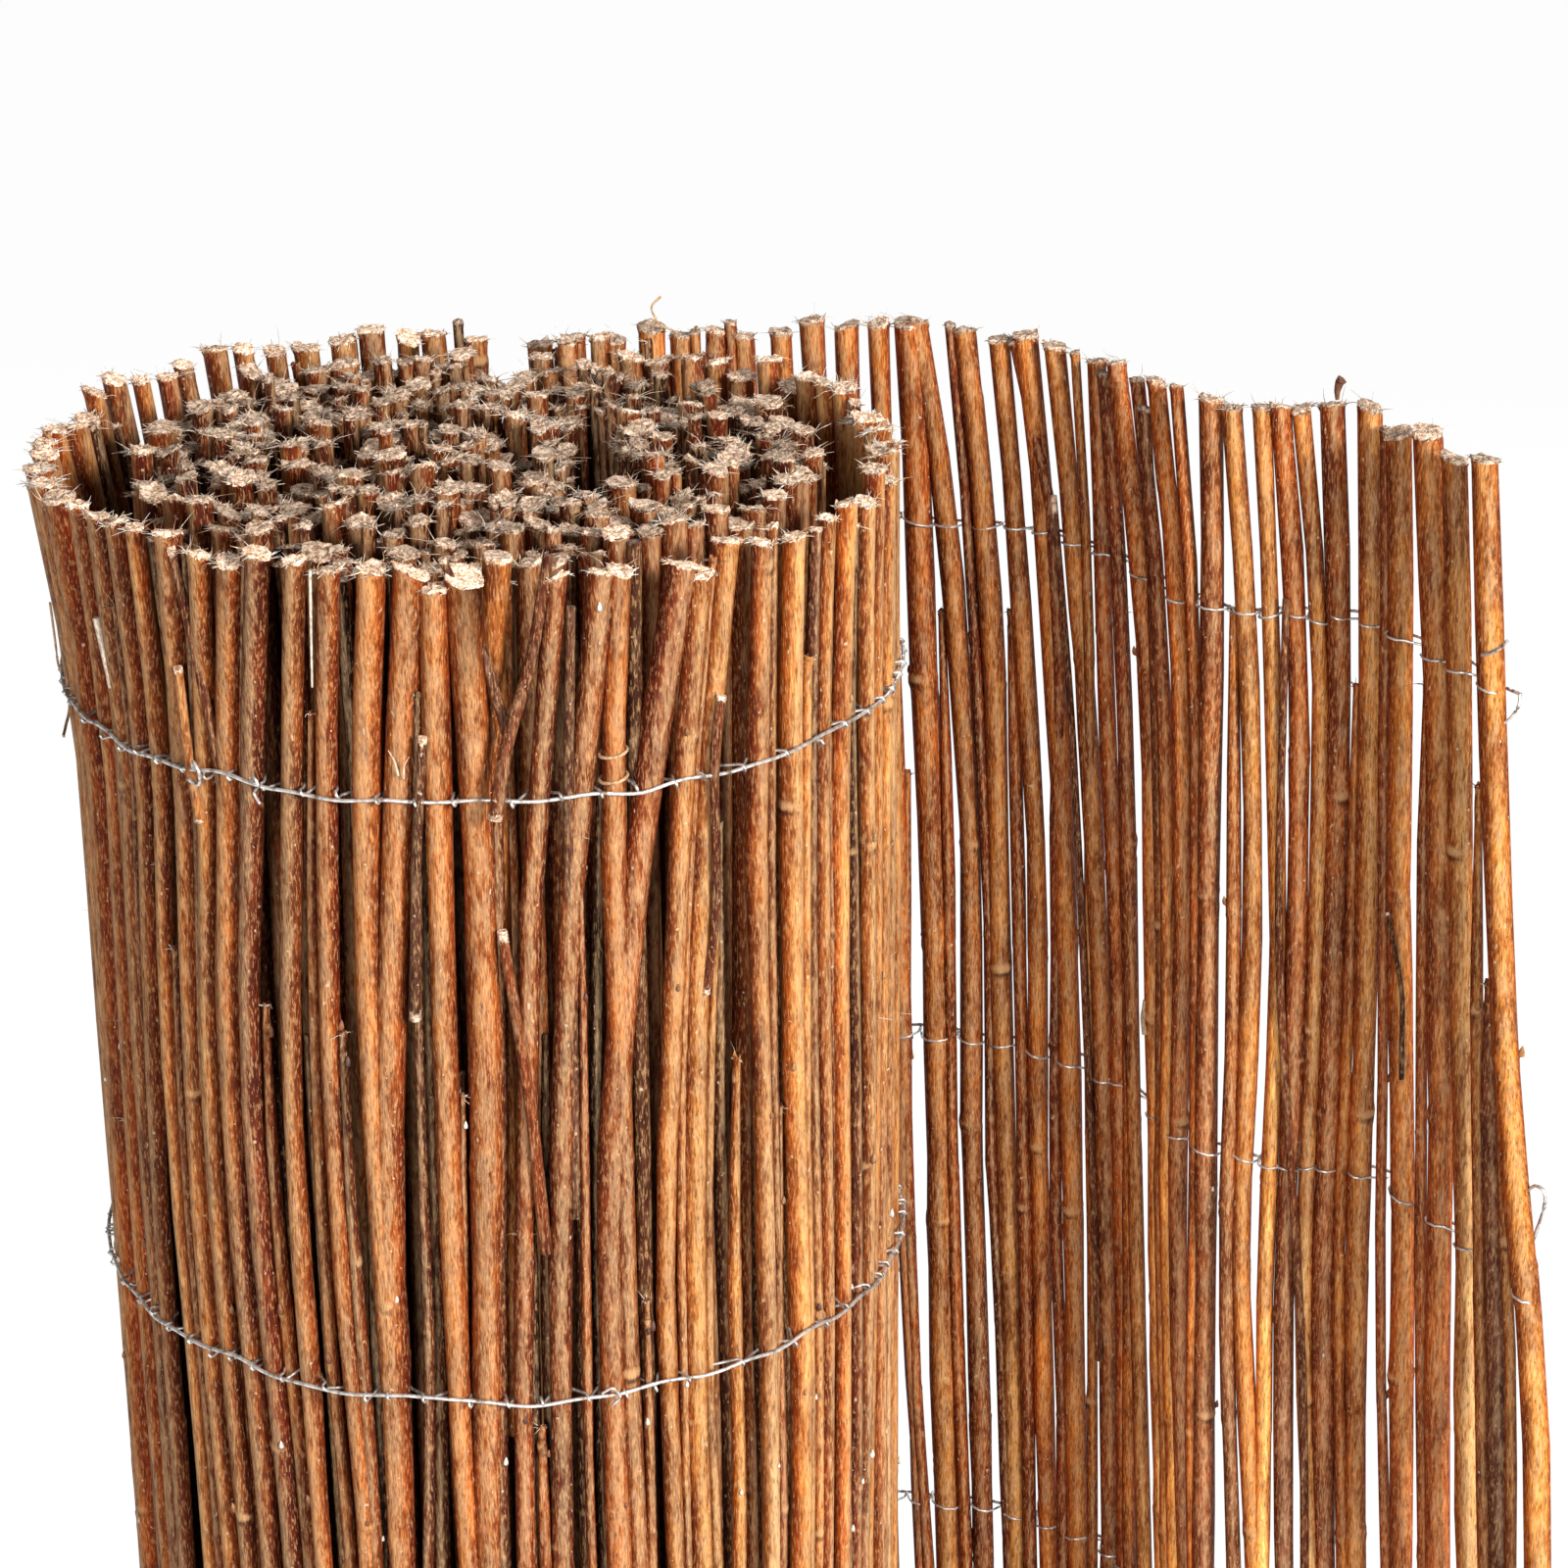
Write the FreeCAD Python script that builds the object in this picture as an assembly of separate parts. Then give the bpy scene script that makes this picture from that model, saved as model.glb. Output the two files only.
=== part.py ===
import FreeCAD, Part
import math
import os

# Willow screening roll, standing on its end, with its last stretch unrolled behind and to the right.
# All sizes are in millimetres, with Z up. The mat is wound about the Z axis. Its outer face, the side
# on which the running wires lie, is a chain of half circles that starts at the back of the roll and
# goes round by the left, the front and the right. The tail leaves from the same point to the right.

# Mat
mat_height = 1000.0
rod_diameter_min = 5.0
rod_diameter_max = 11.0
rod_gap = 0.8
rod_taper = 0.24
rod_end_scatter = 7.0
foot_clearance = 0.6
rod_sides = 8

# Roll
roll_radius = 143.0
turns = 5
turn_pitch = 24.0
flute_depth_share = 0.30
flute_sides = 4
winding_gap_width = 6.0
winding_gap_depth = 28.0
bore_radius = 20.0

# Tail: a straight lead off the roll, then bends with straight runs between them. A turn, in degrees,
# is negative to the right, seen from above while walking away from the roll.
tail_lead = 75.0
slack_bend_radius = 340.0
slack_bend_turn = -13.0
forward_bend_radius = 90.0
forward_bend_turn = -57.0
forward_run = 28.0
level_bend_radius = 46.0
level_bend_turn = 60.0
level_run = 14.0
free_bend_radius = 27.0
free_bend_turn = -59.0
free_run = 78.0
tail_spread = 0.16
tail_nodes = 3

# Wires
wire_rows = 5
top_margin = 77.0
bottom_margin = 103.0
running_wire_diameter = 1.4
stitch_wire_diameter = 0.9
wire_sides = 4
wire_clearance = 0.25
wire_overhang = 8.0

golden_share = (math.sqrt(5.0) - 1.0) / 2.0
wire_row_spacing = (mat_height - top_margin - bottom_margin) / (wire_rows - 1)
tail_bends = [
    (slack_bend_radius, slack_bend_turn, 0.0),
    (forward_bend_radius, forward_bend_turn, forward_run),
    (level_bend_radius, level_bend_turn, level_run),
    (free_bend_radius, free_bend_turn, free_run),
]
up = FreeCAD.Vector(0.0, 0.0, 1.0)


def rod_diameter(number):
    """Middle diameter of a rod: an even spread between the thinnest and the thickest, in mixed order."""
    share = (number * golden_share) % 1.0
    return rod_diameter_min + (rod_diameter_max - rod_diameter_min) * share


def half_turn_radius(number):
    return roll_radius - number * turn_pitch / 2.0


def half_turn_point(number, inset, share):
    """Point at a share of the way along one half circle of the winding, moved inwards by an inset."""
    radius = half_turn_radius(number) - inset
    centre_y = 0.0 if number % 2 == 0 else -turn_pitch / 2.0
    angle = math.pi / 2.0 + math.pi * (number % 2 + share)
    return FreeCAD.Vector(radius * math.cos(angle), centre_y + radius * math.sin(angle), 0.0)


def half_turn_arc(number, inset, end_share=1.0):
    """One half circle of the winding as an arc, or its first stretch."""
    points = [half_turn_point(number, inset, end_share * share) for share in (0.0, 0.5, 1.0)]
    return Part.Arc(*points).toShape()


def fluted_outline():
    """Outer face of the outermost turn: a flute for each rod, with its crest on the winding's face.

    Each flute is a parabola with a few flat sides, and its depth is a share of the rod's width.
    """
    points = [half_turn_point(0, 0.0, 0.0)]
    rod = 0
    for number in (0, 1):
        length = math.pi * half_turn_radius(number)
        widths = []
        while sum(widths) < length:
            widths.append(rod_diameter(rod) + rod_gap)
            rod += 1
        total = sum(widths)
        travelled = 0.0
        for width in widths:
            for side in range(1, flute_sides + 1):
                across = side / flute_sides
                depth = flute_depth_share * width * (2.0 * across - 1.0) ** 2
                points.append(half_turn_point(number, depth, (travelled + across * width) / total))
            travelled += width
    return Part.makePolygon(points + points[:1])


def winding_gap():
    """The gap between the turns as it shows on an end: a spiral band, cut to a shallow depth."""
    outer_inset = turn_pitch - winding_gap_width
    last = 2 * (turns - 1)
    outer = [half_turn_arc(number, outer_inset) for number in range(last)]
    inner = [half_turn_arc(number, turn_pitch) for number in range(last)]
    opening = Part.makeLine(half_turn_point(0, outer_inset, 0.0), half_turn_point(0, turn_pitch, 0.0))
    closing = Part.makeLine(
        half_turn_point(last - 1, outer_inset, 1.0), half_turn_point(last - 1, turn_pitch, 1.0))
    outline = Part.Wire(Part.sortEdges(outer + inner + [opening, closing])[0])
    return Part.Face(outline).extrude(up * winding_gap_depth)


def wound_roll():
    """The wound part of the mat as one fluted solid with its bore and with its turns on both ends."""
    roll = Part.Face(fluted_outline()).extrude(up * mat_height)
    bore = Part.makeCylinder(bore_radius, mat_height)
    lower_gap = winding_gap()
    upper_gap = lower_gap.translated(up * (mat_height - winding_gap_depth))
    return roll.cut([bore, lower_gap, upper_gap])


class TailCurve:
    """Outer face of the tail at one height, or a curve beside it: straight runs and tangent arcs."""

    def __init__(self, height, inset=0.0):
        scale = 1.0 + tail_spread * (mat_height - height) / mat_height
        self.height = height
        self.pieces = []
        self.length = 0.0
        self.heading = 0.0
        self.point = half_turn_point(0, inset, 0.0)
        self.add_run(tail_lead * scale)
        for radius, turn, run in tail_bends:
            side = math.copysign(1.0, -turn)
            self.add_bend(radius * scale - side * inset, turn)
            self.add_run(run * scale)

    def add_run(self, length):
        if length > 0.0:
            self.add_piece(length, 0.0)

    def add_bend(self, radius, turn):
        self.add_piece(radius * abs(math.radians(turn)), math.copysign(1.0 / radius, turn))

    def add_piece(self, length, curvature):
        piece = (self.point, self.heading, length, curvature)
        self.pieces.append(piece)
        self.point = self.point_on(piece, length)
        self.heading += length * curvature
        self.length += length

    @staticmethod
    def point_on(piece, distance):
        """Point on one run or bend: a bend's chord has the mean heading and twice the half-angle sine."""
        start, heading, _, curvature = piece
        half_turn = distance * curvature / 2.0
        chord = distance if half_turn == 0.0 else distance * math.sin(half_turn) / half_turn
        direction = heading + half_turn
        return start + FreeCAD.Vector(math.cos(direction), math.sin(direction), 0.0) * chord

    def place(self, share):
        """Point and outward normal at a share of the curve's length."""
        distance = share * self.length
        for piece in self.pieces:
            if distance <= piece[2] or piece is self.pieces[-1]:
                break
            distance -= piece[2]
        heading = piece[1] + distance * piece[3]
        return self.point_on(piece, distance), FreeCAD.Vector(-math.sin(heading), math.cos(heading), 0.0)

    def edges(self, start_trim, end_extension):
        """The curve as edges at its height, with its first run shortened and its last one lengthened."""
        result = []
        for piece in self.pieces:
            length = piece[2]
            first = self.point_on(piece, 0.0 if result else start_trim)
            if piece[3] == 0.0:
                is_last = piece is self.pieces[-1]
                edge = Part.makeLine(first, self.point_on(piece, length + (end_extension if is_last else 0.0)))
            else:
                middle = self.point_on(piece, length / 2.0)
                edge = Part.Arc(first, middle, self.point_on(piece, length)).toShape()
            edge.translate(up * self.height)
            result.append(edge)
        return result


class TailRod:
    """A tapered rod of the tail. Its outer side follows the mat's outer face from top to foot."""

    def __init__(self, number, share):
        self.share = share
        self.diameter = rod_diameter(number)
        self.butt_end = 1.0 if number % 2 == 0 else -1.0
        scatter = (number * golden_share * golden_share) % 1.0
        self.top = mat_height - rod_end_scatter * scatter
        self.foot = foot_clearance + rod_end_scatter * (1.0 - scatter)

    def radius(self, height):
        return self.diameter / 2.0 * (1.0 + self.butt_end * rod_taper * (0.5 - height / mat_height))

    def centre(self, height):
        point, outward = curve_at[height].place(self.share)
        return point - outward * self.radius(height) + up * height

    def section(self, height):
        """Corners of the rod's section, one of them on the mat's outer face."""
        share = height / mat_height
        centre = self.centre(0.0) * (1.0 - share) + self.centre(mat_height) * share
        outward = curve_at[mat_height].place(self.share)[1]
        along = outward.cross(up)
        corners = []
        for side in range(rod_sides):
            angle = 2.0 * math.pi * side / rod_sides
            corners.append(centre + (outward * math.cos(angle) + along * math.sin(angle)) * self.radius(height))
        return corners

    def solid(self):
        lower = self.section(self.foot)
        upper = self.section(self.top)
        faces = [Part.Face(Part.makePolygon(ring + ring[:1])) for ring in (lower, upper)]
        for side in range(rod_sides):
            after = (side + 1) % rod_sides
            corners = [lower[side], lower[after], upper[after], upper[side], lower[side]]
            faces.append(Part.Face(Part.makePolygon(corners)))
        return Part.makeSolid(Part.makeShell(faces))


curve_at = {height: TailCurve(height) for height in (0.0, mat_height / 2.0, mat_height)}


def apart(rod, other):
    """True if two neighbouring rods clear each other by the rod gap at the foot, middle and top."""
    return all(
        rod.centre(height).distanceToPoint(other.centre(height))
        >= rod.radius(height) + other.radius(height) + rod_gap
        for height in curve_at)


def place_tail_rods():
    """Rods side by side from the roll to the free edge, each as near to the last as the gap allows."""
    length = curve_at[mat_height].length
    step = rod_gap / 8.0 / length
    share = (rod_gap + rod_diameter_max / 2.0) / length
    rods = []
    while True:
        rod = TailRod(len(rods), share)
        while rods and not apart(rod, rods[-1]):
            rod.share += step
        if rod.share > 1.0:
            return rods
        rods.append(rod)
        share = rod.share


def swept_wire(edges, diameter):
    """Wire along a chain of tangent edges, with a few flat sides at its real thickness."""
    path = Part.Wire(edges)
    start = path.OrderedVertexes[0].Point
    along = path.OrderedEdges[0].tangentAt(path.OrderedEdges[0].FirstParameter)
    across = along.cross(up)
    corner_radius = diameter / 2.0 / math.cos(math.pi / wire_sides)
    corners = []
    for side in range(wire_sides):
        angle = 2.0 * math.pi * (side + 0.5) / wire_sides
        corners.append(start + (across * math.cos(angle) + up * math.sin(angle)) * corner_radius)
    section = Part.Wire(Part.makePolygon(corners + corners[:1]))
    return path.makePipeShell([section], True, False)


def running_wire(height):
    """Wire on the mat's outer face: along the tail, round the outermost turn and in under the tail."""
    offset = wire_clearance + running_wire_diameter / 2.0
    tail = TailCurve(height, -offset).edges(0.0, wire_overhang)
    end_share = 1.0 - wire_clearance / (math.pi * half_turn_radius(1))
    round_roll = [half_turn_arc(0, -offset), half_turn_arc(1, -offset, end_share)]
    for edge in round_roll:
        edge.translate(up * height)
    return swept_wire(Part.sortEdges(tail + round_roll)[0], running_wire_diameter)


def stitch_wire(height, rods):
    """Thin wire on the inner face of the tail, which rests on the thickest rods at its height."""
    inset = max(2.0 * rod.radius(height) for rod in rods) + wire_clearance + stitch_wire_diameter / 2.0
    return swept_wire(TailCurve(height, inset).edges(wire_clearance, wire_overhang), stitch_wire_diameter)


tail_rods = place_tail_rods()
parts = {"wound_roll": wound_roll()}
rods_in_node = math.ceil(len(tail_rods) / tail_nodes)
for node in range(tail_nodes):
    group = tail_rods[node * rods_in_node:(node + 1) * rods_in_node]
    parts[f"tail_rods_{node + 1}"] = Part.makeCompound([rod.solid() for rod in group])
for row in range(wire_rows):
    wire_height = mat_height - top_margin - row * wire_row_spacing
    parts[f"running_wire_{row + 1}"] = running_wire(wire_height)
    parts[f"stitch_wire_{row + 1}"] = stitch_wire(wire_height, tail_rods)

# The origin is set at the middle of the whole part's box, on the floor.
box = Part.makeCompound(list(parts.values())).optimalBoundingBox(False)
to_origin = FreeCAD.Vector(-(box.XMin + box.XMax) / 2.0, -(box.YMin + box.YMax) / 2.0, 0.0)
os.makedirs("parts", exist_ok=True)
for name, shape in parts.items():
    shape.translate(to_origin)
    shape.exportStep(f"parts/{name}.step")
    print(name, "valid", shape.isValid(), "solids", len(shape.Solids), "volume", round(shape.Volume, 1))
print("moved by", to_origin, "tail rods", len(tail_rods), "size", box.XLength, box.YLength, box.ZLength)
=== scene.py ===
"""Willow screening roll, standing on its end, with its last stretch unrolled behind and to the right.

Every rod is drawn by itself: its bark, nodes, buds, rough cut ends and frayed fibres. The mat is
described by three numbers: s, the distance along the mat from the place where it leaves the roll
(positive round the roll and inwards, negative along the tail), the depth below the mat's outer face,
and the height z. All lengths are in metres.
"""
import bpy
import numpy as np
from mathutils import Matrix, Vector


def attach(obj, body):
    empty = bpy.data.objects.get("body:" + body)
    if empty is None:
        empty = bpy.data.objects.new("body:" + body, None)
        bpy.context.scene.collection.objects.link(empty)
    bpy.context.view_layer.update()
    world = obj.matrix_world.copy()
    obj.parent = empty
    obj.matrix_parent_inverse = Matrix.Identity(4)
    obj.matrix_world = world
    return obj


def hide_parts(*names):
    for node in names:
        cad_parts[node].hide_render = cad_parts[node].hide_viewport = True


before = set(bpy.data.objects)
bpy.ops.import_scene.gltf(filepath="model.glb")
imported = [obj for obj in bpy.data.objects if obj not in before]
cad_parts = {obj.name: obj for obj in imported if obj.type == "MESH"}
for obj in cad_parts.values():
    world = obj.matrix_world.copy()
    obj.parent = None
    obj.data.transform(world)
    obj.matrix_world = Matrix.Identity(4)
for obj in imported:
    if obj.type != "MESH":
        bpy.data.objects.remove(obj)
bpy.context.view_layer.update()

# The mat, as the part's source has it.
mat_height = 1.0
roll_radius = 0.143
turn_pitch = 0.024
turns = 5
roll_axis_x = -0.11449
tail_spread = 0.16
tail_bends = [  # radius, turn in degrees, straight run after it
    (0.0, 0.0, 0.075),
    (0.340, -13.0, 0.0),
    (0.090, -57.0, 0.028),
    (0.046, 60.0, 0.014),
    (0.027, -59.0, 0.078),
]
first_wire_height = 0.923
wire_heights = first_wire_height - 0.205 * np.arange(5)
running_wire_radius = 0.00062
stitch_wire_radius = 0.00047
wire_ends = np.array([-0.4325, -0.4300, -0.4560, -0.4560, -0.4560])  # s at each row's free end

half_turn_radii = roll_radius - 0.5 * turn_pitch * np.arange(2 * turns + 1)
half_turn_ends = np.cumsum(np.pi * half_turn_radii)
outer_turn_length = half_turn_ends[1]
wound_length = half_turn_ends[-1]

rng = np.random.default_rng(51)
uniform, normal = rng.uniform, rng.normal


def tail_pieces():
    """The tail's outer face at full height as rows of start x, start y, heading, length, curvature."""
    rows = []
    x, y, heading = 0.0, roll_radius, 0.0
    for radius, turn, run in tail_bends:
        steps = []
        if turn:
            steps.append((radius * abs(np.radians(turn)), np.copysign(1.0 / radius, turn)))
        if run:
            steps.append((run, 0.0))
        for length, curvature in steps:
            rows.append((x, y, heading, length, curvature))
            half = 0.5 * length * curvature
            chord = length * np.sinc(half / np.pi)
            x += chord * np.cos(heading + half)
            y += chord * np.sin(heading + half)
            heading += length * curvature
    return np.array(rows)


tail_rows = tail_pieces()
tail_ends = np.cumsum(tail_rows[:, 3])
tail_length = tail_ends[-1]


def outer_face(s, z):
    """Point of the mat's outer face and its outward normal, for arrays of s and z.

    Round the roll the face is a chain of half circles, each smaller by half the pitch, whose centres
    swap between two points. Along the tail it is runs and arcs, where a point lies a chord of twice
    the half-angle sine from its piece's start, and the whole curve is larger towards the foot.
    """
    s, z = np.broadcast_arrays(s, z)
    wound = np.clip(s, 0.0, wound_length - 1e-6)
    half_turn = np.searchsorted(half_turn_ends, wound)
    radius = half_turn_radii[half_turn]
    start = half_turn_ends[half_turn] - np.pi * radius
    angle = np.pi * (0.5 + half_turn) + (wound - start) / radius
    centre_y = -0.5 * turn_pitch * (half_turn % 2)
    unrolled = np.maximum(-s, 0.0)
    piece = np.minimum(np.searchsorted(tail_ends, unrolled), len(tail_rows) - 1)
    x, y, heading, length, curvature = np.moveaxis(tail_rows[piece], -1, 0)
    along = unrolled - (tail_ends[piece] - length)
    half = 0.5 * along * curvature
    chord = along * np.sinc(half / np.pi)
    spread = 1.0 + tail_spread * (mat_height - z) / mat_height
    tail_x = spread * (x + chord * np.cos(heading + half))
    tail_y = roll_radius + spread * (y + chord * np.sin(heading + half) - roll_radius)
    is_roll = s >= 0.0
    point = np.stack([
        roll_axis_x + np.where(is_roll, radius * np.cos(angle), tail_x),
        np.where(is_roll, centre_y + radius * np.sin(angle), tail_y)], axis=-1)
    heading = heading + along * curvature
    outward = np.stack([
        np.where(is_roll, np.cos(angle), -np.sin(heading)),
        np.where(is_roll, np.sin(angle), np.cos(heading))], axis=-1)
    return point, outward


def top_flare(s, z):
    """How far the outer turn's loose top stands out above the first wire: most at the left.

    Round the roll the reach goes as one less the cosine of the angle from its quiet side, and up the
    last stretch it grows with the power 1.5 of the height.
    """
    mean_radius, half_reach, quiet_side, stretch = 0.137, 0.0052, np.radians(20.0), 0.10
    angle = 0.5 * np.pi + s / mean_radius
    reach = half_reach * (1.0 - np.cos(angle - quiet_side))
    is_outer = (s > 0.0) & (s < outer_turn_length)
    return np.where(is_outer, reach, 0.0) * np.clip((z - 0.90) / stretch, 0.0, 1.0) ** 1.5


# Mesh building


def fill(items, key, values, kind=np.float32):
    """Gives all vertices, corners or faces of a mesh their values."""
    items.foreach_set(key, np.asarray(values).astype(kind).ravel())


def grid_mesh(name, rings, level_share=None, strip_rows=1, flat_ends=0, values=None):
    """One mesh of many closed tubes from an array of tubes x rings x corners x 3.

    Each tube's rings are joined by quads and its first and last rings are closed. On the bake map
    every tube has an upright strip of its own, with the share of its length as the height in it.
    """
    tubes, levels, sides = rings.shape[:3]
    index = np.arange(tubes * levels * sides).reshape(tubes, levels, sides)
    after = np.roll(index, -1, axis=2)
    quads = np.stack([index[:, :-1], after[:, :-1], after[:, 1:], index[:, 1:]], axis=-1)
    ends = np.stack([index[:, 0, ::-1], index[:, -1]], axis=1)
    corner_counts = np.repeat([4, sides], [quads.size // 4, 2 * tubes])
    smooth = np.ones(quads.shape[:3])
    if flat_ends:
        smooth[:, :flat_ends] = smooth[:, -flat_ends:] = 0
    mesh = bpy.data.meshes.new(name)
    mesh.vertices.add(index.size)
    mesh.loops.add(quads.size + ends.size)
    mesh.polygons.add(len(corner_counts))
    fill(mesh.vertices, "co", rings)
    fill(mesh.loops, "vertex_index", np.concatenate([quads.ravel(), ends.ravel()]), np.int32)
    fill(mesh.polygons, "loop_start", np.cumsum(corner_counts) - corner_counts, np.int32)
    fill(mesh.polygons, "use_smooth", np.concatenate([smooth.ravel(), np.zeros(2 * tubes)]), bool)

    def at_corners(on_quads, on_ends):
        full = [np.broadcast_to(on_quads, quads.shape), np.broadcast_to(on_ends, ends.shape)]
        return np.concatenate([full[0].ravel(), full[1].ravel()])

    if level_share is None:
        level_share = np.broadcast_to(np.linspace(0.0, 1.0, levels), (tubes, levels))
    low, high = level_share[:, :-1, None], level_share[:, 1:, None]
    columns = int(np.ceil(tubes / strip_rows))
    column = (np.arange(tubes) % columns)[:, None, None]
    row = (np.arange(tubes) // columns)[:, None, None]
    across = 0.04 + 0.92 * (np.arange(sides)[:, None] + np.array([0.0, 1.0, 1.0, 0.0])) / sides
    end_across = 0.5 + 0.3 * np.cos(2.0 * np.pi * np.arange(sides) / sides)
    u = at_corners(column[..., None] + across, column + end_across) / columns
    v = 0.01 + 0.98 * np.stack([low, low, high, high], axis=-1)
    v = at_corners(row[..., None] + v, row + np.array([[0.005], [0.995]])) / strip_rows
    fill(mesh.uv_layers.new(name="OFBake").data, "uv", np.stack([u, v], axis=-1))
    for key, value in (values or {}).items():
        full = np.broadcast_to(value, (tubes, levels, sides) + value.shape[3:])
        if full.ndim == 4:
            full = np.concatenate([full, np.ones(full.shape[:3] + (1,))], axis=-1)
            fill(mesh.attributes.new(key, "FLOAT_COLOR", "POINT").data, "color", full)
        else:
            fill(mesh.attributes.new(key, "FLOAT", "POINT").data, "value", full)
    mesh.update(calc_edges=True)
    mesh.validate()
    return mesh


def tubes_along(paths, radii, sides):
    """Rings round an array of paths (tubes x points x 3), turned as little as possible.

    Each ring is a circle square to the path. Its first axis is the side of the path that lies
    level, and its second is square to both.
    """
    along = np.gradient(paths, axis=1)
    along /= np.linalg.norm(along, axis=-1, keepdims=True) + 1e-12
    is_steep = np.abs(along[..., 2:]) > 0.9
    first = np.cross(np.where(is_steep, [1.0, 0.0, 0.0], [0.0, 0.0, 1.0]), along)
    first /= np.linalg.norm(first, axis=-1, keepdims=True) + 1e-12
    second = np.cross(along, first)
    turn = 2.0 * np.pi * np.arange(sides) / sides
    radii = np.broadcast_to(radii, paths.shape[:2])[:, :, None, None]
    circle = np.cos(turn)[:, None] * first[:, :, None] + np.sin(turn)[:, None] * second[:, :, None]
    return paths[:, :, None] + radii * circle


def raised(xy, z):
    """Points from places in plan and heights."""
    return np.concatenate([xy, z[..., None]], axis=-1)


def placed(name, data):
    """A new object in the scene."""
    item = bpy.data.objects.new(name, data)
    bpy.context.scene.collection.objects.link(item)
    return item


def add_piece(mesh, finish, *nodes):
    """Puts a mesh in the scene as a piece that rides on the roll and stands for the nodes named.

    A finish is a material and the name of the slot that it belongs to; that name is not used.
    """
    material, slot = finish
    mesh.materials.append(material)
    piece = placed(mesh.name, mesh)
    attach(piece, "root")
    if nodes:
        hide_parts(*nodes)


# Finishes


class Nodes:
    """Short calls for the node tree of a material or world."""

    def __init__(self, owner):
        self.owner = owner
        owner.use_nodes = True
        self.tree = owner.node_tree
        self.tree.nodes.clear()

    def put(self, target, value):
        """Links a node's output to a socket, or gives the socket a plain value."""
        if isinstance(value, bpy.types.NodeSocket):
            self.tree.links.new(value, target)
        else:
            target.default_value = (*value, 1.0) if target.type == "RGBA" else value

    def add(self, kind, settings=None, **inputs):
        """A node with its settings, and inputs named as on the node with _ for each space."""
        node = self.tree.nodes.new("ShaderNode" + kind)
        for key, value in (settings or {}).items():
            setattr(node, key, value)
        for key, value in inputs.items():
            self.put(node.inputs[key.replace("_", " ")], value)
        return node

    def join(self, kind, settings, sockets, values):
        """A node whose inputs go by number."""
        node = self.add(kind, settings)
        for socket, value in zip(sockets, values):
            self.put(node.inputs[socket], value)
        return node

    def ramp(self, factor, stops):
        """A value turned into a grey or a colour by straight steps between places."""
        node = self.add("ValToRGB", Fac=factor)
        elements = node.color_ramp.elements
        while len(elements) < len(stops):
            elements.new(0.5)
        for element, (position, colour) in zip(elements, stops):
            element.position = position
            element.color = (*colour, 1.0) if isinstance(colour, tuple) else (colour, colour, colour, 1.0)
        return node.outputs["Color"]

    def mix(self, factor, first, second, blend="MIX"):
        """The first colour turned into the second, or into their product, by a factor."""
        settings = {"data_type": "RGBA", "blend_type": blend}
        return self.join("Mix", settings, (0, 6, 7), (factor, first, second)).outputs[2]

    def times(self, first, second):
        """The product of two colours."""
        return self.mix(1.0, first, second, "MULTIPLY")

    def math(self, operation, first, second):
        """A sum, a product or the larger of two values."""
        return self.join("Math", {"operation": operation}, (0, 1), (first, second)).outputs[0]

    def varied(self, value, noise, amount):
        """A value plus noise about its middle, times an amount."""
        return self.math("ADD", value, self.math("MULTIPLY", self.math("SUBTRACT", noise, 0.5), amount))

    def over(self, base, colour, mask, low, high):
        """A colour laid over another where a mask goes from its low to its high (place, share)."""
        return self.mix(self.ramp(mask, [low, high]), base, colour)

    def noise(self, across, along, detail, roughness):
        """Noise on object coordinates, in waves per metre across the rods and along them."""
        place = self.add("TexCoord").outputs["Object"]
        mapping = self.add("Mapping", Vector=place, Scale=(across, across, along))
        return self.add(
            "TexNoise", Vector=mapping.outputs["Vector"], Scale=1.0, Detail=detail,
            Roughness=roughness).outputs["Fac"]

    def value_of(self, name, output="Fac"):
        """A value that is stored on the mesh."""
        return self.add("Attribute", {"attribute_name": name}).outputs[output]

    def blend(self, factor, first, second):
        """Two shaders blended by a factor."""
        values = (factor, first.outputs[0], second.outputs[0])
        return self.join("MixShader", None, (0, 1, 2), values).outputs[0]

    def principled(self, colour, roughness, **inputs):
        """Links a surface of one colour and roughness, and gives back the material."""
        shader = self.add("BsdfPrincipled", Base_Color=colour, Roughness=roughness, **inputs)
        return self.finish(shader.outputs["BSDF"])

    def finish(self, shader, kind="OutputMaterial"):
        """Links a shader to the output, and gives back the material or world."""
        self.put(self.add(kind).inputs["Surface"], shader)
        return self.owner


def material_nodes(name):
    """The node tree of a new material."""
    return Nodes(bpy.data.materials.new(name))


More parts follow.
